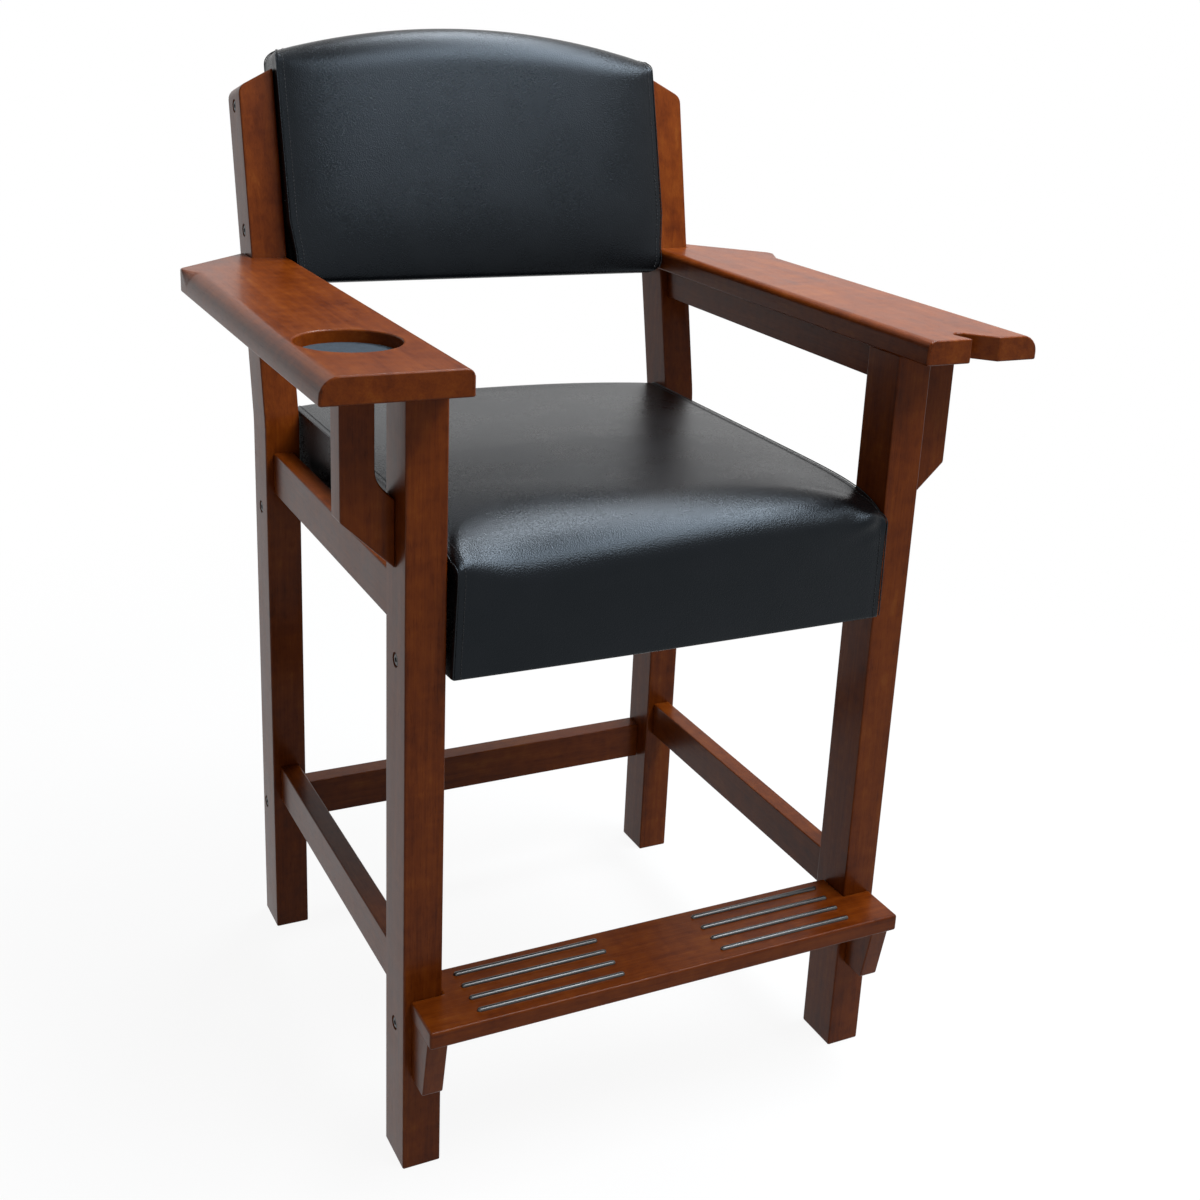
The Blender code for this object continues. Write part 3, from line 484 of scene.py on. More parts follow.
def seat_wrap(row, u):
    """A point of the wrapped panel, from the bottom of the front round to the bottom of the rear."""
    rise = SEAT_ROLL_RISE - SEAT_ROLL_LEAN * u
    rise += (SEAT_ROLL_END - rise) * abs(u) ** 7
    roll = SEAT_ROLL_REACH * rise
    front = seat_low.y + SEAT_BOW * (u * u)
    rear = seat_high.y
    bottom = seat_low.z
    start_z = seat_top(u, front + roll) - rise
    back = 2 * faces + tops - row
    if row <= LOWER_STEPS or back <= LOWER_STEPS:
        angle = min(row, back) / LOWER_STEPS * math.pi / 2
        inset = SEAT_LOWER_ROUND * (1 - math.sin(angle))
        y = front + inset if row <= LOWER_STEPS else rear - inset
        z = bottom + SEAT_LOWER_ROUND * (1 - math.cos(angle))
    elif row <= faces:
        foot = bottom + SEAT_LOWER_ROUND
        y = front
        z = foot + (start_z - foot) * (row - LOWER_STEPS) / FACE_STEPS
    elif back <= faces:
        foot = bottom + SEAT_LOWER_ROUND
        edge = seat_top(u, rear - SEAT_REAR_ROLL) - SEAT_REAR_ROLL
        y = rear
        z = foot + (edge - foot) * (back - LOWER_STEPS) / FACE_STEPS
    elif row <= faces + ROLL_STEPS:
        angle = (row - faces) / ROLL_STEPS * math.pi / 2
        y = front + roll * (1 - math.cos(angle))
        z = start_z + rise * math.sin(angle)
    elif back <= faces + REAR_STEPS:
        angle = (back - faces) / REAR_STEPS * math.pi / 2
        y = rear - SEAT_REAR_ROLL * (1 - math.cos(angle))
        z = seat_top(u, rear - SEAT_REAR_ROLL) - SEAT_REAR_ROLL * (1 - math.sin(angle))
    else:
        share = (row - faces - ROLL_STEPS) / TOP_STEPS
        y = front + roll + (rear - SEAT_REAR_ROLL - front - roll) * share
        z = seat_top(u, y)
    return Vector((u * seat_half(y, z, u), y, z))


def seat_half(y, z, side):
    """Half-width of the seat between its seams, on one side."""
    left, right = SEAT_FRONT_TUCK
    tuck = (left + right - (left - right) * side) / 2
    tuck *= clamp((z - seat_low.z) / SEAT_TUCK_RISE)
    return SEAT_HALF - tuck * math.exp(-(y - seat_low.y) / SEAT_TUCK_RUN)


def seat_underside(k, i):
    """A point of the underside: a rim round the hollow that takes the frame, deck and dust cover."""
    hollow_low = deck_low.y - CAVITY_CLEARANCE
    hollow_high = deck_high.y + CAVITY_CLEARANCE
    hollow_half = deck_high.x + CAVITY_CLEARANCE
    stretch = clamp((k - 2) / (tops - 4))
    y = hollow_low + (hollow_high - hollow_low) * stretch
    if k in (1, tops - 1):
        y += CAVITY_CLEARANCE * (1 if k > 1 else -1)
    count = len(seat_columns) - 1
    if i in (0, count):
        x = seat_half(y, seat_low.z, 1) if i else -seat_half(y, seat_low.z, -1)
    elif i in (1, count - 1):
        x = (hollow_half + CAVITY_CLEARANCE) * (1 if i > 1 else -1)
    else:
        x = -hollow_half + 2 * hollow_half * (i - 2) / (count - 4)
    inside = 2 <= k <= tops - 2 and 2 <= i <= count - 2
    return Vector((x, y, deck_high.z + CAVITY_CLEARANCE if inside else seat_low.z))


seat_columns = across(SEAT_HALF, 0.0054)
seat_mesh, seat_grid, seat_floor, seat_sides = boxed_cover(seat_wrap, seat_underside, faces, tops,
                                                           seat_columns)
fixed = seat_grid[:LOWER_STEPS + 1] + seat_grid[-LOWER_STEPS - 1:]
stuffed(seat_mesh, held_at(seat_grid, seat_floor, seat_sides, fixed), pressure=1.6, shrink=0.002, cap=0.005)

# The panel is pulled tight at the front corners, where a few puckers run in from the seam
PUCKER_REACH = 0.042
PUCKER_DEPTH = 0.0020
PUCKER_BEHIND = 0.012               # corner's place behind the front face, and its height
PUCKER_HEIGHT = 0.704
PUCKER_FOOT = 0.668
PUCKER_FADE = 0.02
PUCKER_ROWS = faces + ROLL_STEPS + 30
for row in seat_grid[LOWER_STEPS:PUCKER_ROWS]:
    for index in row[2:-2]:
        vert = seat_mesh.vertices[index]
        for corner, strength in ((SEAT_HALF, 1.0), (-SEAT_HALF, 0.2)):
            off = vert.co - Vector((corner, seat_low.y + PUCKER_BEHIND, PUCKER_HEIGHT))
            fall = math.exp(-(off.length / PUCKER_REACH) ** 2) * strength
            fall *= clamp((vert.co.z - PUCKER_FOOT) / PUCKER_FADE)
            wave = math.sin(210.0 * off.z + 95.0 * abs(off.x))
            wave += 0.6 * math.sin(150.0 * off.y - 120.0 * abs(off.x))
            vert.co += vert.normal * PUCKER_DEPTH * fall * wave
sewn_down(seat_mesh, seat_grid[LOWER_STEPS:-LOWER_STEPS])


def black_vinyl():
    """Upholstery vinyl: black, with a fine pebble, softly shiny, its tone varying a little in broad clouds.
    """
    # The bluish specular tint is painted light: it colours every reflection on the vinyl as a blue sky
    # would.
    material, start, shader = finish("black_vinyl", {
        "Specular IOR Level": 0.20, "Specular Tint": (0.70, 0.85, 1.0, 1.0)})
    place = start.node("ShaderNodeTexCoord", output="Object")
    pebble = place.node("ShaderNodeTexVoronoi", {"feature": "SMOOTH_F1"},
                        {"Vector": place, "Scale": 780.0, "Smoothness": 0.6}, "Distance")
    grain = noise(place, 560.0, 3.0)
    cloud = noise(place, 16.0, 3.0)
    hide = cloud.ramp((0.30, (0.0016, 0.0016, 0.0018)), (0.70, (0.0036, 0.0036, 0.0040)))
    hide.into(shader.inputs["Base Color"])
    (0.22 + 0.06 * cloud + 0.06 * grain).into(shader.inputs["Roughness"])
    relief(0.8 * pebble + 0.7 * grain + 0.5 * cloud, 0.0007, 0.40).into(shader.inputs["Normal"])
    return material


vinyl = black_vinyl()


def upholstered(name, mesh, stands_for):
    """Subdivide a cover once, dress it in vinyl and put it on the chair."""
    mesh = plain(mesh, [("SUBSURF", {"levels": 1, "render_levels": 1})])
    mesh.shade_smooth()
    coat(mesh, vinyl)
    piece = settle(name, mesh, "black_vinyl", stands_for)


upholstered("seat_upholstery", seat_mesh, "seat_cushion")


# Back rest: a padded board between the posts. One vinyl panel wraps from the foot of the front over the
# arched top and down the back; narrow gussets close the ends, sewn to the panel like the seat's.
post_low, post_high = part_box("left_rear_post")
POST_BEND_HEIGHT = 0.711
POST_RAKE = math.radians(12.4)
RAKED = Matrix.Translation((0, post_low.y, POST_BEND_HEIGHT)) @ Matrix.Rotation(-POST_RAKE, 4, "X")
BACK_FOOT = 0.1672                  # along the posts from their bend, as are the next two
BACK_SIDE_TOP = 0.4490
BACK_ARCH = 0.0335
BACK_PROUD_TOP = 0.012
BACK_PROUD_FOOT = 0.025
BACK_CROWN = 0.013
BACK_REAR = 0.0405
BACK_TOP_ROLL = 0.048               # front of the top roll: its height in the middle and at the seams
BACK_TOP_ROLL_END = 0.016
BACK_REAR_ROLL = 0.016
BACK_TOP_CORNER = 0.012
BACK_RIDGE = 0.58                   # top line's place from the front panel to the rear one
BACK_HALF_TOP = 0.2556
BACK_HALF_FOOT = 0.2508             # between the arms, up to the next height
BACK_RIGHT_TUCK = 0.0040            # right edge, drawn in further than the left one
BACK_POST_CLEARANCE = 0.0008        # behind the posts' front plane, where the pad fills the gap
BACK_STEP = 0.003
BACK_ARM_LEVEL = 0.204
BACK_ARM_FADE = 0.040
BACK_CORNER = 0.020
BACK_FOOT_TILT = 0.05               # underside, rising a little towards the rear
BACK_FOOT_FADE = 0.060
BACK_LOWER_ROUND = 0.008
BACK_BOARD_FRONT = 0.0188
BACK_BOARD_REAR = 0.0382
BACK_BOARD_TOP = 0.4350
BACK_LOWER_STEPS, BACK_FACE_STEPS, BACK_ROLL_STEPS = 3, 48, 18
back_faces = BACK_LOWER_STEPS + BACK_FACE_STEPS
back_columns = across(BACK_HALF_TOP, 0.0056)


def back_front(u, v):
    """How far the front panel stands off the posts' front plane."""
    low = clamp((BACK_SIDE_TOP - v) / (BACK_SIDE_TOP - BACK_FOOT))
    middle = 2 * low - 1
    swell = BACK_CROWN * (1 - abs(u) ** 6) * (1 - max(0.0, middle) ** 4)
    return -(BACK_PROUD_TOP + (BACK_PROUD_FOOT - BACK_PROUD_TOP) * low) - swell


def back_arch(u):
    return BACK_SIDE_TOP + BACK_ARCH * (1 - u * u)


def back_half(side, w, v):
    """Half-width of the back rest on one side, at a depth and a height along the posts."""
    share = clamp((v - BACK_ARM_LEVEL) / BACK_ARM_FADE)
    half = BACK_HALF_FOOT + (BACK_HALF_TOP - BACK_HALF_FOOT) * share - BACK_RIGHT_TUCK * max(0.0, side)
    between = clamp((w + BACK_STEP) / (2 * BACK_STEP))
    half += (-post_high.x - BACK_POST_CLEARANCE - half) * between
    low = clamp(1 - (v - BACK_FOOT) / BACK_CORNER)
    high = clamp(1 - (BACK_SIDE_TOP - v) / BACK_TOP_CORNER)
    half -= BACK_CORNER * (1 - math.sqrt(1 - low * low))
    return half - BACK_TOP_CORNER * (1 - math.sqrt(1 - high * high))


def back_wrap(row, u):
    """A point of the wrapped panel, from the foot of the front over the top to the foot of the back."""
    last = 2 * back_faces + BACK_ROLL_STEPS
    back = last - row
    foot = BACK_FOOT + BACK_LOWER_ROUND
    roll = BACK_TOP_ROLL + (BACK_TOP_ROLL_END - BACK_TOP_ROLL) * abs(u) ** 7
    shoulder = back_arch(u) - roll
    rear_shoulder = back_arch(u) - BACK_REAR_ROLL
    if row <= BACK_LOWER_STEPS or back <= BACK_LOWER_STEPS:
        angle = min(row, back) / BACK_LOWER_STEPS * math.pi / 2
        inset = BACK_LOWER_ROUND * (1 - math.sin(angle))
        v = BACK_FOOT + BACK_LOWER_ROUND * (1 - math.cos(angle))
        w = back_front(u, foot) + inset if row <= BACK_LOWER_STEPS else BACK_REAR - inset
    elif row <= back_faces:
        v = foot + (shoulder - foot) * (row - BACK_LOWER_STEPS) / BACK_FACE_STEPS
        w = back_front(u, v)
    elif back <= back_faces:
        v = foot + (rear_shoulder - foot) * (back - BACK_LOWER_STEPS) / BACK_FACE_STEPS
        w = BACK_REAR
    else:
        angle = (row - back_faces) / BACK_ROLL_STEPS * math.pi
        start_w = back_front(u, shoulder)
        ridge = start_w + (BACK_REAR - start_w) * BACK_RIDGE
        if angle < math.pi / 2:
            w = ridge - (ridge - start_w) * math.cos(angle)
            v = shoulder + roll * math.sin(angle)
        else:
            w = ridge - (BACK_REAR - ridge) * math.cos(angle)
            v = rear_shoulder + BACK_REAR_ROLL * math.sin(angle)
    level = v - BACK_ARCH * (1 - u * u) * clamp((v - foot) / (back_arch(u) - foot))
    return back_place(u * back_half(u, w, level), w, v)


def back_place(x, w, v):
    """A point of the back rest from its place across, behind the posts' front plane and along them."""
    tilt = BACK_FOOT_TILT * (w + BACK_PROUD_FOOT) * max(0.0, 1 - (v - BACK_FOOT) / BACK_FOOT_FADE)
    return RAKED @ Vector((x, w, v + max(0.0, tilt)))


def back_underside(k, i):
    """A point of the underside, with a slot between its lips for the board."""
    u = back_columns[i]
    last = BACK_ROLL_STEPS
    front = back_front(u, BACK_FOOT + BACK_LOWER_ROUND) + BACK_LOWER_ROUND
    rear = BACK_REAR - BACK_LOWER_ROUND / 4
    raised = last // 2 - 1 <= k <= last // 2 + 1 and 2 <= i <= len(back_columns) - 3
    if k < last // 2 - 1:
        w = front + (BACK_BOARD_FRONT - front) * k / (last // 2 - 2)
    elif k > last // 2 + 1:
        w = BACK_BOARD_REAR + (rear - BACK_BOARD_REAR) * (k - last // 2 - 2) / (last // 2 - 2)
    else:
        w = BACK_BOARD_FRONT + (BACK_BOARD_REAR - BACK_BOARD_FRONT) * (k - last // 2 + 1) / 2
    v = BACK_FOOT + (BACK_BOARD_TOP + BACK_ARCH * (1 - u * u) - BACK_FOOT) * raised
    return back_place(u * back_half(u, w, BACK_FOOT), w, v)


back_mesh, back_grid, back_floor, back_sides = boxed_cover(back_wrap, back_underside, back_faces,
                                                           BACK_ROLL_STEPS, back_columns)
for side, rows in zip((-1, 1), back_sides):
    for index in [index for row in rows[1:-1] for index in row[1:-1]]:
        x, w, v = RAKED.inverted() @ back_mesh.vertices[index].co
        back_mesh.vertices[index].co = RAKED @ Vector((side * back_half(side, w, v), w, v))
fixed = back_grid[:BACK_LOWER_STEPS + 1] + back_grid[-back_faces:]
stuffed(back_mesh, held_at(back_grid, back_floor, back_sides, fixed), pressure=1.4, shrink=0.001, cap=0.004)
sewn_down(back_mesh, back_grid[BACK_LOWER_STEPS:-BACK_LOWER_STEPS])
upholstered("back_upholstery", back_mesh, "back_cushion")


# Seams: a thin folded lip of vinyl stands up where the panels meet, and a row of black thread holds it
# down. Both run the whole length of every seam, up the front, over the top and down behind.
def grower(name, inputs):
    """A geometry node tree with named inputs: the tree, its input node, and calls that add and link."""
    tree = bpy.data.node_groups.new(name, "GeometryNodeTree")
    for socket, kind in inputs.items():
        tree.interface.new_socket(socket, in_out="INPUT", socket_type="NodeSocket" + kind)
    tree.interface.new_socket("Geometry", in_out="OUTPUT", socket_type="NodeSocketGeometry")
    return tree, tree.nodes.new("NodeGroupInput"), tree.nodes.new, tree.links.new


def ended(tree, source, material):
    """End a tree with real geometry in one finish."""
    real = tree.nodes.new("GeometryNodeRealizeInstances")
    dress = tree.nodes.new("GeometryNodeSetMaterial")
    result = tree.nodes.new("NodeGroupOutput")
    tree.links.new(source, real.inputs["Geometry"])
    tree.links.new(real.outputs["Geometry"], dress.inputs["Geometry"])
    tree.links.new(material, dress.inputs["Material"])
    tree.links.new(dress.outputs["Geometry"], result.inputs["Geometry"])


def seam_tree():
    """Geometry nodes: a round lip along a path, or stitches laid end to end along it."""
    tree, given, add, link = grower("sewn_seam", {
        "Path": "Geometry", "Lip Radius": "Float", "Stitch Pitch": "Float", "Stitch Length": "Float",
        "Thread Radius": "Float", "Lip Finish": "Material"})
    path = add("GeometryNodeMeshToCurve")
    link(given.outputs["Path"], path.inputs["Mesh"])
    points = add("GeometryNodeCurveToPoints")
    points.mode = "LENGTH"
    link(path.outputs["Curve"], points.inputs["Curve"])
    link(given.outputs["Stitch Pitch"], points.inputs["Length"])
    thread = add("GeometryNodeMeshCylinder")
    thread.inputs["Vertices"].default_value = 6
    thread.inputs["Side Segments"].default_value = 3
    link(given.outputs["Thread Radius"], thread.inputs["Radius"])
    link(given.outputs["Stitch Length"], thread.inputs["Depth"])
    laid = add("GeometryNodeInstanceOnPoints")
    link(points.outputs["Points"], laid.inputs["Points"])
    link(points.outputs["Rotation"], laid.inputs["Rotation"])
    link(thread.outputs["Mesh"], laid.inputs["Instance"])
    ring = add("GeometryNodeCurvePrimitiveCircle")
    ring.inputs["Resolution"].default_value = 8
    link(given.outputs["Lip Radius"], ring.inputs["Radius"])
    lip = add("GeometryNodeCurveToMesh")
    lip.inputs["Fill Caps"].default_value = True
    link(path.outputs["Curve"], lip.inputs["Curve"])
    link(ring.outputs["Curve"], lip.inputs["Profile Curve"])
    wide = add("FunctionNodeCompare")
    wide.operation = "GREATER_THAN"
    link(given.outputs["Lip Radius"], wide.inputs["A"])
    choice = add("GeometryNodeSwitch")
    choice.input_type = "GEOMETRY"
    link(wide.outputs["Result"], choice.inputs["Switch"])
    link(laid.outputs["Instances"], choice.inputs["False"])
    link(lip.outputs["Mesh"], choice.inputs["True"])
    ended(tree, choice.outputs["Output"], given.outputs["Lip Finish"])
    return tree


def grown(name, mesh, tree, values):
    """The plain mesh that a tree grows from a mesh, with its named inputs set."""
    holder = placed(name, mesh)
    step = holder.modifiers.new(name, "NODES")
    step.node_group = tree
    for item in tree.interface.items_tree:
        if item.in_out == "INPUT" and item.name in values:
            step[item.identifier] = values[item.name]
    return realised(holder)


def seam_path(mesh, rows, column, lift):
    """A path along one column of a cover's panel, lifted off its surface."""
    verts = [mesh.vertices[row[column]] for row in rows]
    path = bpy.data.meshes.new("path")
    path.from_pydata([vert.co + vert.normal * lift for vert in verts],
                     [(k, k + 1) for k in range(len(verts) - 1)], [])
    return path


thread, start, shader = finish("black_thread", {"Roughness": 0.55, "Specular IOR Level": 0.35})
place = start.node("ShaderNodeTexCoord", output="Object")
twist = noise(place, 1800.0, 1.0)
twist.ramp((0.3, (0.006, 0.006, 0.007)), (0.7, (0.020, 0.020, 0.022))).into(shader.inputs["Base Color"])
relief(twist, 0.0002, 0.5).into(shader.inputs["Normal"])
sewing = seam_tree()
LIP_RADIUS = 0.0007
LIP_LIFT = LIP_RADIUS * 0.2
STITCH_PITCH = 0.0046
STITCH_LENGTH = 0.0034
STITCH_LIFT = 0.0004
THREAD_RADIUS = 0.00028
for cover, mesh, grid, lower in (("seat", seat_mesh, seat_grid, LOWER_STEPS),
                                 ("back", back_mesh, back_grid, BACK_LOWER_STEPS)):
    for end, edge, row_at in (("left", 0, 2), ("right", -1, -3)):
        rows = grid[lower:len(grid) - lower]
        lip = grown("lip", seam_path(mesh, rows, edge, LIP_LIFT), sewing,
                    {"Lip Radius": LIP_RADIUS, "Lip Finish": vinyl})
        lip.shade_smooth()
        settle("%s_%s_seam_lip" % (cover, end), lip, "black_vinyl")
        stitches = grown("stitches", seam_path(mesh, rows, row_at, STITCH_LIFT), sewing, {
            "Lip Radius": 0.0, "Stitch Pitch": STITCH_PITCH, "Stitch Length": STITCH_LENGTH,
            "Thread Radius": THREAD_RADIUS, "Lip Finish": thread})
        stitches.shade_smooth()
        settle("%s_%s_stitches" % (cover, end), stitches, "black_vinyl")


# Dust cover: black woven cambric tacked under the seat frame.
cambric, start, shader = finish("black_cambric", {"Roughness": 0.9, "Specular IOR Level": 0.2})
place = start.node("ShaderNodeTexCoord", output="Object")
weft = start.node("ShaderNodeTexWave", {"bands_direction": "X"}, {"Vector": place, "Scale": 320.0}, "Fac")
warp = start.node("ShaderNodeTexWave", {"bands_direction": "Y"}, {"Vector": place, "Scale": 320.0}, "Fac")
weave = (weft * warp).ramp((0.0, (0.008, 0.008, 0.009)), (1.0, (0.026, 0.026, 0.028)))
weave.into(shader.inputs["Base Color"])
relief(weft + warp, 0.0002, 0.5).into(shader.inputs["Normal"])
coat(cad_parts["seat_dust_cover"].data, cambric)


# Cup recess: a disc of grey-blue felt glued to the floor of the recess, its edge pressed down a little.
def lofted(name, turns, crease=math.pi):
    """A closed mesh through rings of points, capped at both ends and smooth up to a crease angle."""
    shape = bmesh.new()
    rings = [[shape.verts.new(spot) for spot in turn] for turn in turns]
    for below, turn in zip(rings, rings[1:]):
        for k in range(len(turn)):
            shape.faces.new((below[k - 1], below[k], turn[k], turn[k - 1]))
    shape.faces.new(rings[0])
    shape.faces.new(rings[-1])
    bmesh.ops.recalc_face_normals(shape, faces=shape.faces)
    mesh = bpy.data.meshes.new(name)
    shape.to_mesh(mesh)
    shape.free()
    mesh.shade_smooth()
    mesh.set_sharp_from_angle(angle=crease)
    return mesh


FELT_RINGS = 40
FELT_STEPS = 96
FELT_EDGE = 0.0012
FELT_NAP = 0.0002
felt_radius = (felt_high.x - felt_low.x) / 2


def felt_turn(reach, level, nap):
    """One ring of the disc, its points let down by up to the nap."""
    turn = []
    for k in range(FELT_STEPS):
        angle = 2 * math.pi * k / FELT_STEPS
        sunk = nap * chance.random() if nap else 0.0
        turn.append((cup_middle.x + reach * math.cos(angle), cup_middle.y + reach * math.sin(angle),
                     level - sunk))
    return turn


felt_flat = felt_radius - FELT_EDGE
turns = [felt_turn(felt_radius, felt_low.z, 0.0), felt_turn(felt_radius, felt_high.z - FELT_EDGE, 0.0),
         felt_turn(felt_flat, felt_high.z, 0.0)]
for ring in range(1, FELT_RINGS):
    turns.append(felt_turn(felt_flat * (1 - ring / FELT_RINGS), felt_high.z, FELT_NAP))
disc = lofted("felt_disc", turns)
felt, start, shader = finish("grey_felt", {"Roughness": 0.95, "Specular IOR Level": 0.06,
                                           "Sheen Weight": 0.10, "Sheen Roughness": 0.6})
place = start.node("ShaderNodeTexCoord", output="Object")
fibre = noise(place, 900.0, 4.0, 0.7)
fluff = noise(place, 140.0, 3.0, 0.6)
pile = (0.6 * fibre + 0.4 * fluff).ramp((0.30, (0.008, 0.014, 0.021)), (0.72, (0.027, 0.043, 0.060)))
pile.into(shader.inputs["Base Color"])
relief(fibre + 0.6 * fluff, 0.0006, 0.7).into(shader.inputs["Normal"])
coat(disc, felt)
settle("cup_felt_disc", disc, "grey_felt", "cup_felt")


# Treads: black rubber beads pressed into grooves of the footrest board, in two groups, with rounded ends.
rib_low, rib_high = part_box("right_tread_rib_1")
far_low, far_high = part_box("right_tread_rib_4")
RIB_STEPS = 10
RIB_END_STEPS = 5
RIB_TIP = 0.02
RIB_CREASE = math.radians(60.0)
RIB_ROWS = 4
rib_length = rib_high.x - rib_low.x
rib_half = (rib_high.y - rib_low.y) / 2
rib_rise = rib_high.z - rib_low.z
stations = []
for k in range(RIB_END_STEPS + 1):
    angle = k / RIB_END_STEPS * math.pi / 2
    stations.append((rib_half * (1 - math.cos(angle)), max(RIB_TIP, math.sin(angle))))
stations += [(rib_length - along, size) for along, size in reversed(stations)]
arc = [math.pi * k / RIB_STEPS for k in range(RIB_STEPS + 1)]
turns = []
for along, size in stations:
    turns.append([(along - rib_length / 2, rib_half * size * math.cos(angle),
                   rib_rise * size * math.sin(angle)) for angle in arc])
bead = lofted("tread_bead", turns, RIB_CREASE)

tread_tree, given, add, link = grower("tread_beads", {
    "Bead": "Geometry", "Across": "Float", "Along": "Float", "Rows": "Int", "Centre": "Vector",
    "Rubber": "Material"})
lattice = add("GeometryNodeMeshGrid")
lattice.inputs["Vertices X"].default_value = 2
link(given.outputs["Across"], lattice.inputs["Size X"])
link(given.outputs["Along"], lattice.inputs["Size Y"])
link(given.outputs["Rows"], lattice.inputs["Vertices Y"])
moved = add("GeometryNodeTransform")
link(lattice.outputs["Mesh"], moved.inputs["Geometry"])
link(given.outputs["Centre"], moved.inputs["Translation"])
spread = add("GeometryNodeInstanceOnPoints")
link(moved.outputs["Geometry"], spread.inputs["Points"])
link(given.outputs["Bead"], spread.inputs["Instance"])
ended(tread_tree, spread.outputs["Instances"], given.outputs["Rubber"])

rubber, start, shader = finish("black_rubber", {"Specular IOR Level": 0.75})
place = start.node("ShaderNodeTexCoord", output="Object")
scuff = noise(place, 240.0, 3.0)
scuff.ramp((0.35, (0.006, 0.006, 0.006)), (0.75, (0.022, 0.021, 0.020))).into(shader.inputs["Base Color"])
(0.27 + 0.06 * scuff).into(shader.inputs["Roughness"])
relief(scuff, 0.00002, 0.1).into(shader.inputs["Normal"])
middle_y = (rib_low.y + rib_high.y + far_low.y + far_high.y) / 4
treads = grown("treads", bead, tread_tree, {
    "Across": rib_low.x + rib_high.x, "Along": far_low.y - rib_low.y, "Rows": RIB_ROWS,
    "Centre": (0.0, middle_y, rib_low.z), "Rubber": rubber})
settle("tread_beads", treads, "black_rubber",
       *["%s_tread_rib_%d" % (side, k + 1) for side in ("left", "right") for k in range(RIB_ROWS)])


# Connector bolts: black oxide heads with hexagon sockets, sunk in counterbores in the legs and posts, each
# drawn up in a zinc-plated barrel nut inside the rail.
BOLT_TURN = 48
BOLT_CREASE = math.radians(35.0)
HEAD_ROUND = 0.0024
HEAD_UNDER = 0.0034
HEAD_OUT = 0.0010                   # nearer the face of the leg than the CAD head
SHANK_RADIUS = 0.003
SHANK_END = 0.060
SOCKET_RADIUS = 0.0029
SOCKET_DEPTH = 0.0022
SOCKET_CHAMFER = 0.0003
sample_low, sample_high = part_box("right_seat_front_bolt")
head_radius = (sample_high.y - sample_low.y) / 2


def hexagon(angle, radius):
    """Distance from the middle to the wall of a hexagon socket at an angle."""
    return radius * math.cos(math.pi / 6) / math.cos((angle % (math.pi / 3)) - math.pi / 6)


rings = [(-SHANK_END, SHANK_RADIUS, 0), (-HEAD_UNDER, SHANK_RADIUS, 0), (-HEAD_UNDER, head_radius, 0)]
rings += [(-HEAD_ROUND * down, head_radius - HEAD_ROUND * inward, 0)
          for down, inward in ((1.0, 0.0), (0.55, 0.28), (0.20, 0.68), (0.0, 1.15))]
rings += [(0.0, SOCKET_RADIUS * 1.12, 1), (-SOCKET_CHAMFER, SOCKET_RADIUS, 1),
          (-SOCKET_DEPTH, SOCKET_RADIUS, 1)]
turns = []
for height, radius, six in rings:
    turn = []
    for k in range(BOLT_TURN):
        angle = 2 * math.pi * k / BOLT_TURN
        reach = hexagon(angle, radius) if six else radius
        turn.append((height, reach * math.cos(angle), reach * math.sin(angle)))
    turns.append(turn)
bolt = lofted("connector_bolt", turns, BOLT_CREASE)

bolt_tree, given, add, link = grower("connector_bolts", {
    "Bolt": "Geometry", "Places": "Object", "Steel": "Material"})
places = add("GeometryNodeObjectInfo")
link(given.outputs["Places"], places.inputs["Object"])
turned = add("GeometryNodeInputNamedAttribute")
turned.data_type = "FLOAT_VECTOR"
turned.inputs["Name"].default_value = "turn"
spread = add("GeometryNodeInstanceOnPoints")
link(places.outputs["Geometry"], spread.inputs["Points"])
link(turned.outputs["Attribute"], spread.inputs["Rotation"])
link(given.outputs["Bolt"], spread.inputs["Instance"])
ended(bolt_tree, spread.outputs["Instances"], given.outputs["Steel"])

bolt_nodes = sorted(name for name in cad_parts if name.endswith("_bolt"))
spots, turns = [], []
for name in bolt_nodes:
    low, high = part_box(name)
    right = name.startswith("right")
    face = high.x + HEAD_OUT if right else low.x - HEAD_OUT
    spots.append((face, (low.y + high.y) / 2, (low.z + high.z) / 2))
    turns += [chance.uniform(0, math.pi / 3), 0.0, 0.0 if right else math.pi]
marks = bpy.data.meshes.new("bolt_places")
marks.from_pydata(spots, [], [])
marks.attributes.new("turn", "FLOAT_VECTOR", "POINT").data.foreach_set("vector", turns)
mark_holder = placed("bolt_places", marks)
steel, start, shader = finish("black_steel", {"Metallic": 0.0, "Specular IOR Level": 0.45})
place = start.node("ShaderNodeTexCoord", output="Object")
oxide = noise(place, 700.0, 3.0)
oxide.ramp((0.3, (0.003, 0.003, 0.003)), (0.75, (0.010, 0.010, 0.011))).into(shader.inputs["Base Color"])
(0.30 + 0.2 * oxide).into(shader.inputs["Roughness"])
relief(oxide, 0.00015, 0.3).into(shader.inputs["Normal"])
bolts = grown("bolts", bolt, bolt_tree, {"Places": mark_holder, "Steel": steel})
bpy.data.objects.remove(mark_holder)
settle("connector_bolts", bolts, "black_steel", *bolt_nodes)

zinc, start, shader = finish("zinc_plate", {"Metallic": 1.0})
place = start.node("ShaderNodeTexCoord", output="Object")
spangle = noise(place, 500.0, 2.0)
spangle.ramp((0.3, (0.44, 0.44, 0.42)), (0.7, (0.62, 0.62, 0.60))).into(shader.inputs["Base Color"])
(0.28 + 0.2 * spangle).into(shader.inputs["Roughness"])
for name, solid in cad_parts.items():
    if name.endswith("_nut"):
        coat(solid.data, zinc)


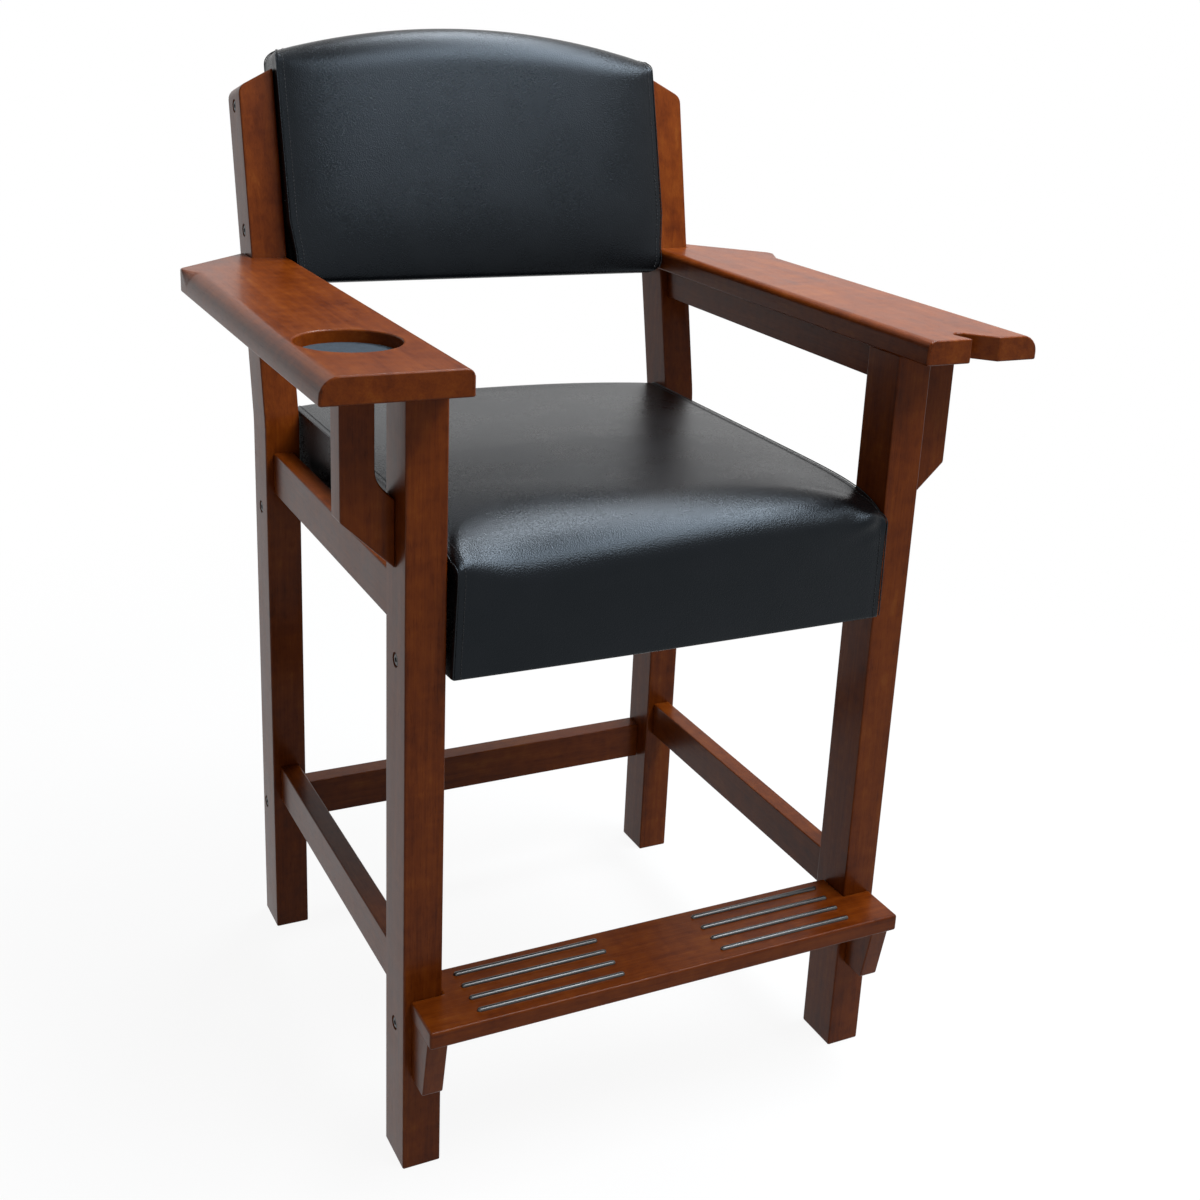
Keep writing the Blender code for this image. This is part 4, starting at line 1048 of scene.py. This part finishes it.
# Studio: a plain pale floor that runs out of sight, two strip lamps overhead, weak fills from the front,
# and a camera where the photograph was taken.
def in_sight(start):
    """1 for rays that show the surround, straight, mirrored or through glass; 0 for those that light."""
    share = start.node("ShaderNodeLightPath", output="Is Camera Ray")
    for kind in ("Is Glossy Ray", "Is Transmission Ray"):
        share = share + start.node("ShaderNodeLightPath", output=kind)
    return share


FLOOR = 30.0
floor_mesh = bpy.data.meshes.new("floor")
corners = [(-FLOOR, -FLOOR, 0), (FLOOR, -FLOOR, 0), (FLOOR, FLOOR, 0), (-FLOOR, FLOOR, 0)]
floor_mesh.from_pydata(corners, [], [(0, 1, 2, 3)])
floor = placed("studio_floor", floor_mesh)
paint, start, shader = finish("pale_floor", {"Roughness": 0.9, "Specular IOR Level": 0.0})
seen = in_sight(start)
(0.45 + 0.5 * seen).into(shader.inputs["Base Color"])
glow = start.node("ShaderNodeEmission", {}, {"Color": (1.0, 1.0, 1.0, 1.0), "Strength": 1.0})
lit = Shade(paint.node_tree, shader.outputs["BSDF"])
place = start.node("ShaderNodeTexCoord", output="Object")
away = start.node("ShaderNodeVectorMath", {"operation": "LENGTH"}, {0: place}, "Value")
share = seen * (0.92 + 0.08 * away.above(1.3, 0.8))
mixed = start.node("ShaderNodeMixShader", {}, {0: share, 1: lit, 2: glow})
mixed.into(paint.node_tree.nodes["Material Output"].inputs["Surface"])
coat(floor_mesh, paint)
floor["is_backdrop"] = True

world = bpy.data.worlds.new("studio")
bpy.context.scene.world = world
world.use_nodes = True
start = Shade(world.node_tree)
backdrop = world.node_tree.nodes["Background"]
seen = in_sight(start)
AMBIENT = 0.06
OVERHEAD = 0.12
place = start.node("ShaderNodeTexCoord", output="Generated")
height = start.node("ShaderNodeSeparateXYZ", {}, {"Vector": place}, "Z")
ambient = AMBIENT + OVERHEAD * start.maths("MAXIMUM", height, 0.0)
(ambient * (1.0 - seen) + seen).into(backdrop.inputs["Strength"])
backdrop.inputs["Color"].default_value = (1.0, 1.0, 1.0, 1.0)

for name, spot, aim, size, power, tint in (
        ("rear_strip", (0.72, 0.35, 2.60), (0.0, 0.0, 0.75), (1.7, 0.45), 56.0, (0.90, 0.95, 1.0)),
        ("front_strip", (0.85, -0.85, 2.50), (0.0, -0.1, 0.75), (2.0, 0.70), 66.0, (0.90, 0.95, 1.0)),
        ("high_fill", (1.0, -2.0, 3.20), (0.0, 0.0, 0.90), (1.4, 1.2), 12.0, (1.0, 0.97, 0.93)),
        ("low_fill", (-1.6, -3.0, 1.20), (0.0, 0.0, 0.60), (1.5, 1.5), 9.0, (1.0, 0.97, 0.93))):
    lamp = bpy.data.lights.new(name, "AREA")
    lamp.shape = "RECTANGLE"
    lamp.size, lamp.size_y = size
    lamp.energy = power
    lamp.color = tint
    holder = placed(name, lamp)
    holder.location = spot
    holder.rotation_euler = (Vector(aim) - Vector(spot)).to_track_quat("-Z", "Y").to_euler()

IMAGE = 1200.0
FOCAL = 1596.307                    # in pixels of the image, as are the centre's two
CENTRE_X = 649.302
CENTRE_Y = 536.676
camera = bpy.data.cameras.new("camera")
camera.sensor_width = 36.0
camera.lens = FOCAL * camera.sensor_width / IMAGE
camera.shift_x = (IMAGE / 2 - CENTRE_X) / IMAGE
camera.shift_y = (CENTRE_Y - IMAGE / 2) / IMAGE
camera.clip_end = 200.0
eye = placed("camera", camera)
eye.matrix_world = (Matrix.Translation((-0.775865, -1.672648, 1.233264))
                    @ Matrix.Rotation(math.radians(-28.332), 4, "Z")
                    @ Matrix.Rotation(math.radians(90.0 - 18.713), 4, "X")
                    @ Matrix.Rotation(math.radians(3.213), 4, "Z"))
bpy.context.scene.camera = eye
bpy.context.scene.view_settings.view_transform = "Standard"

low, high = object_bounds()
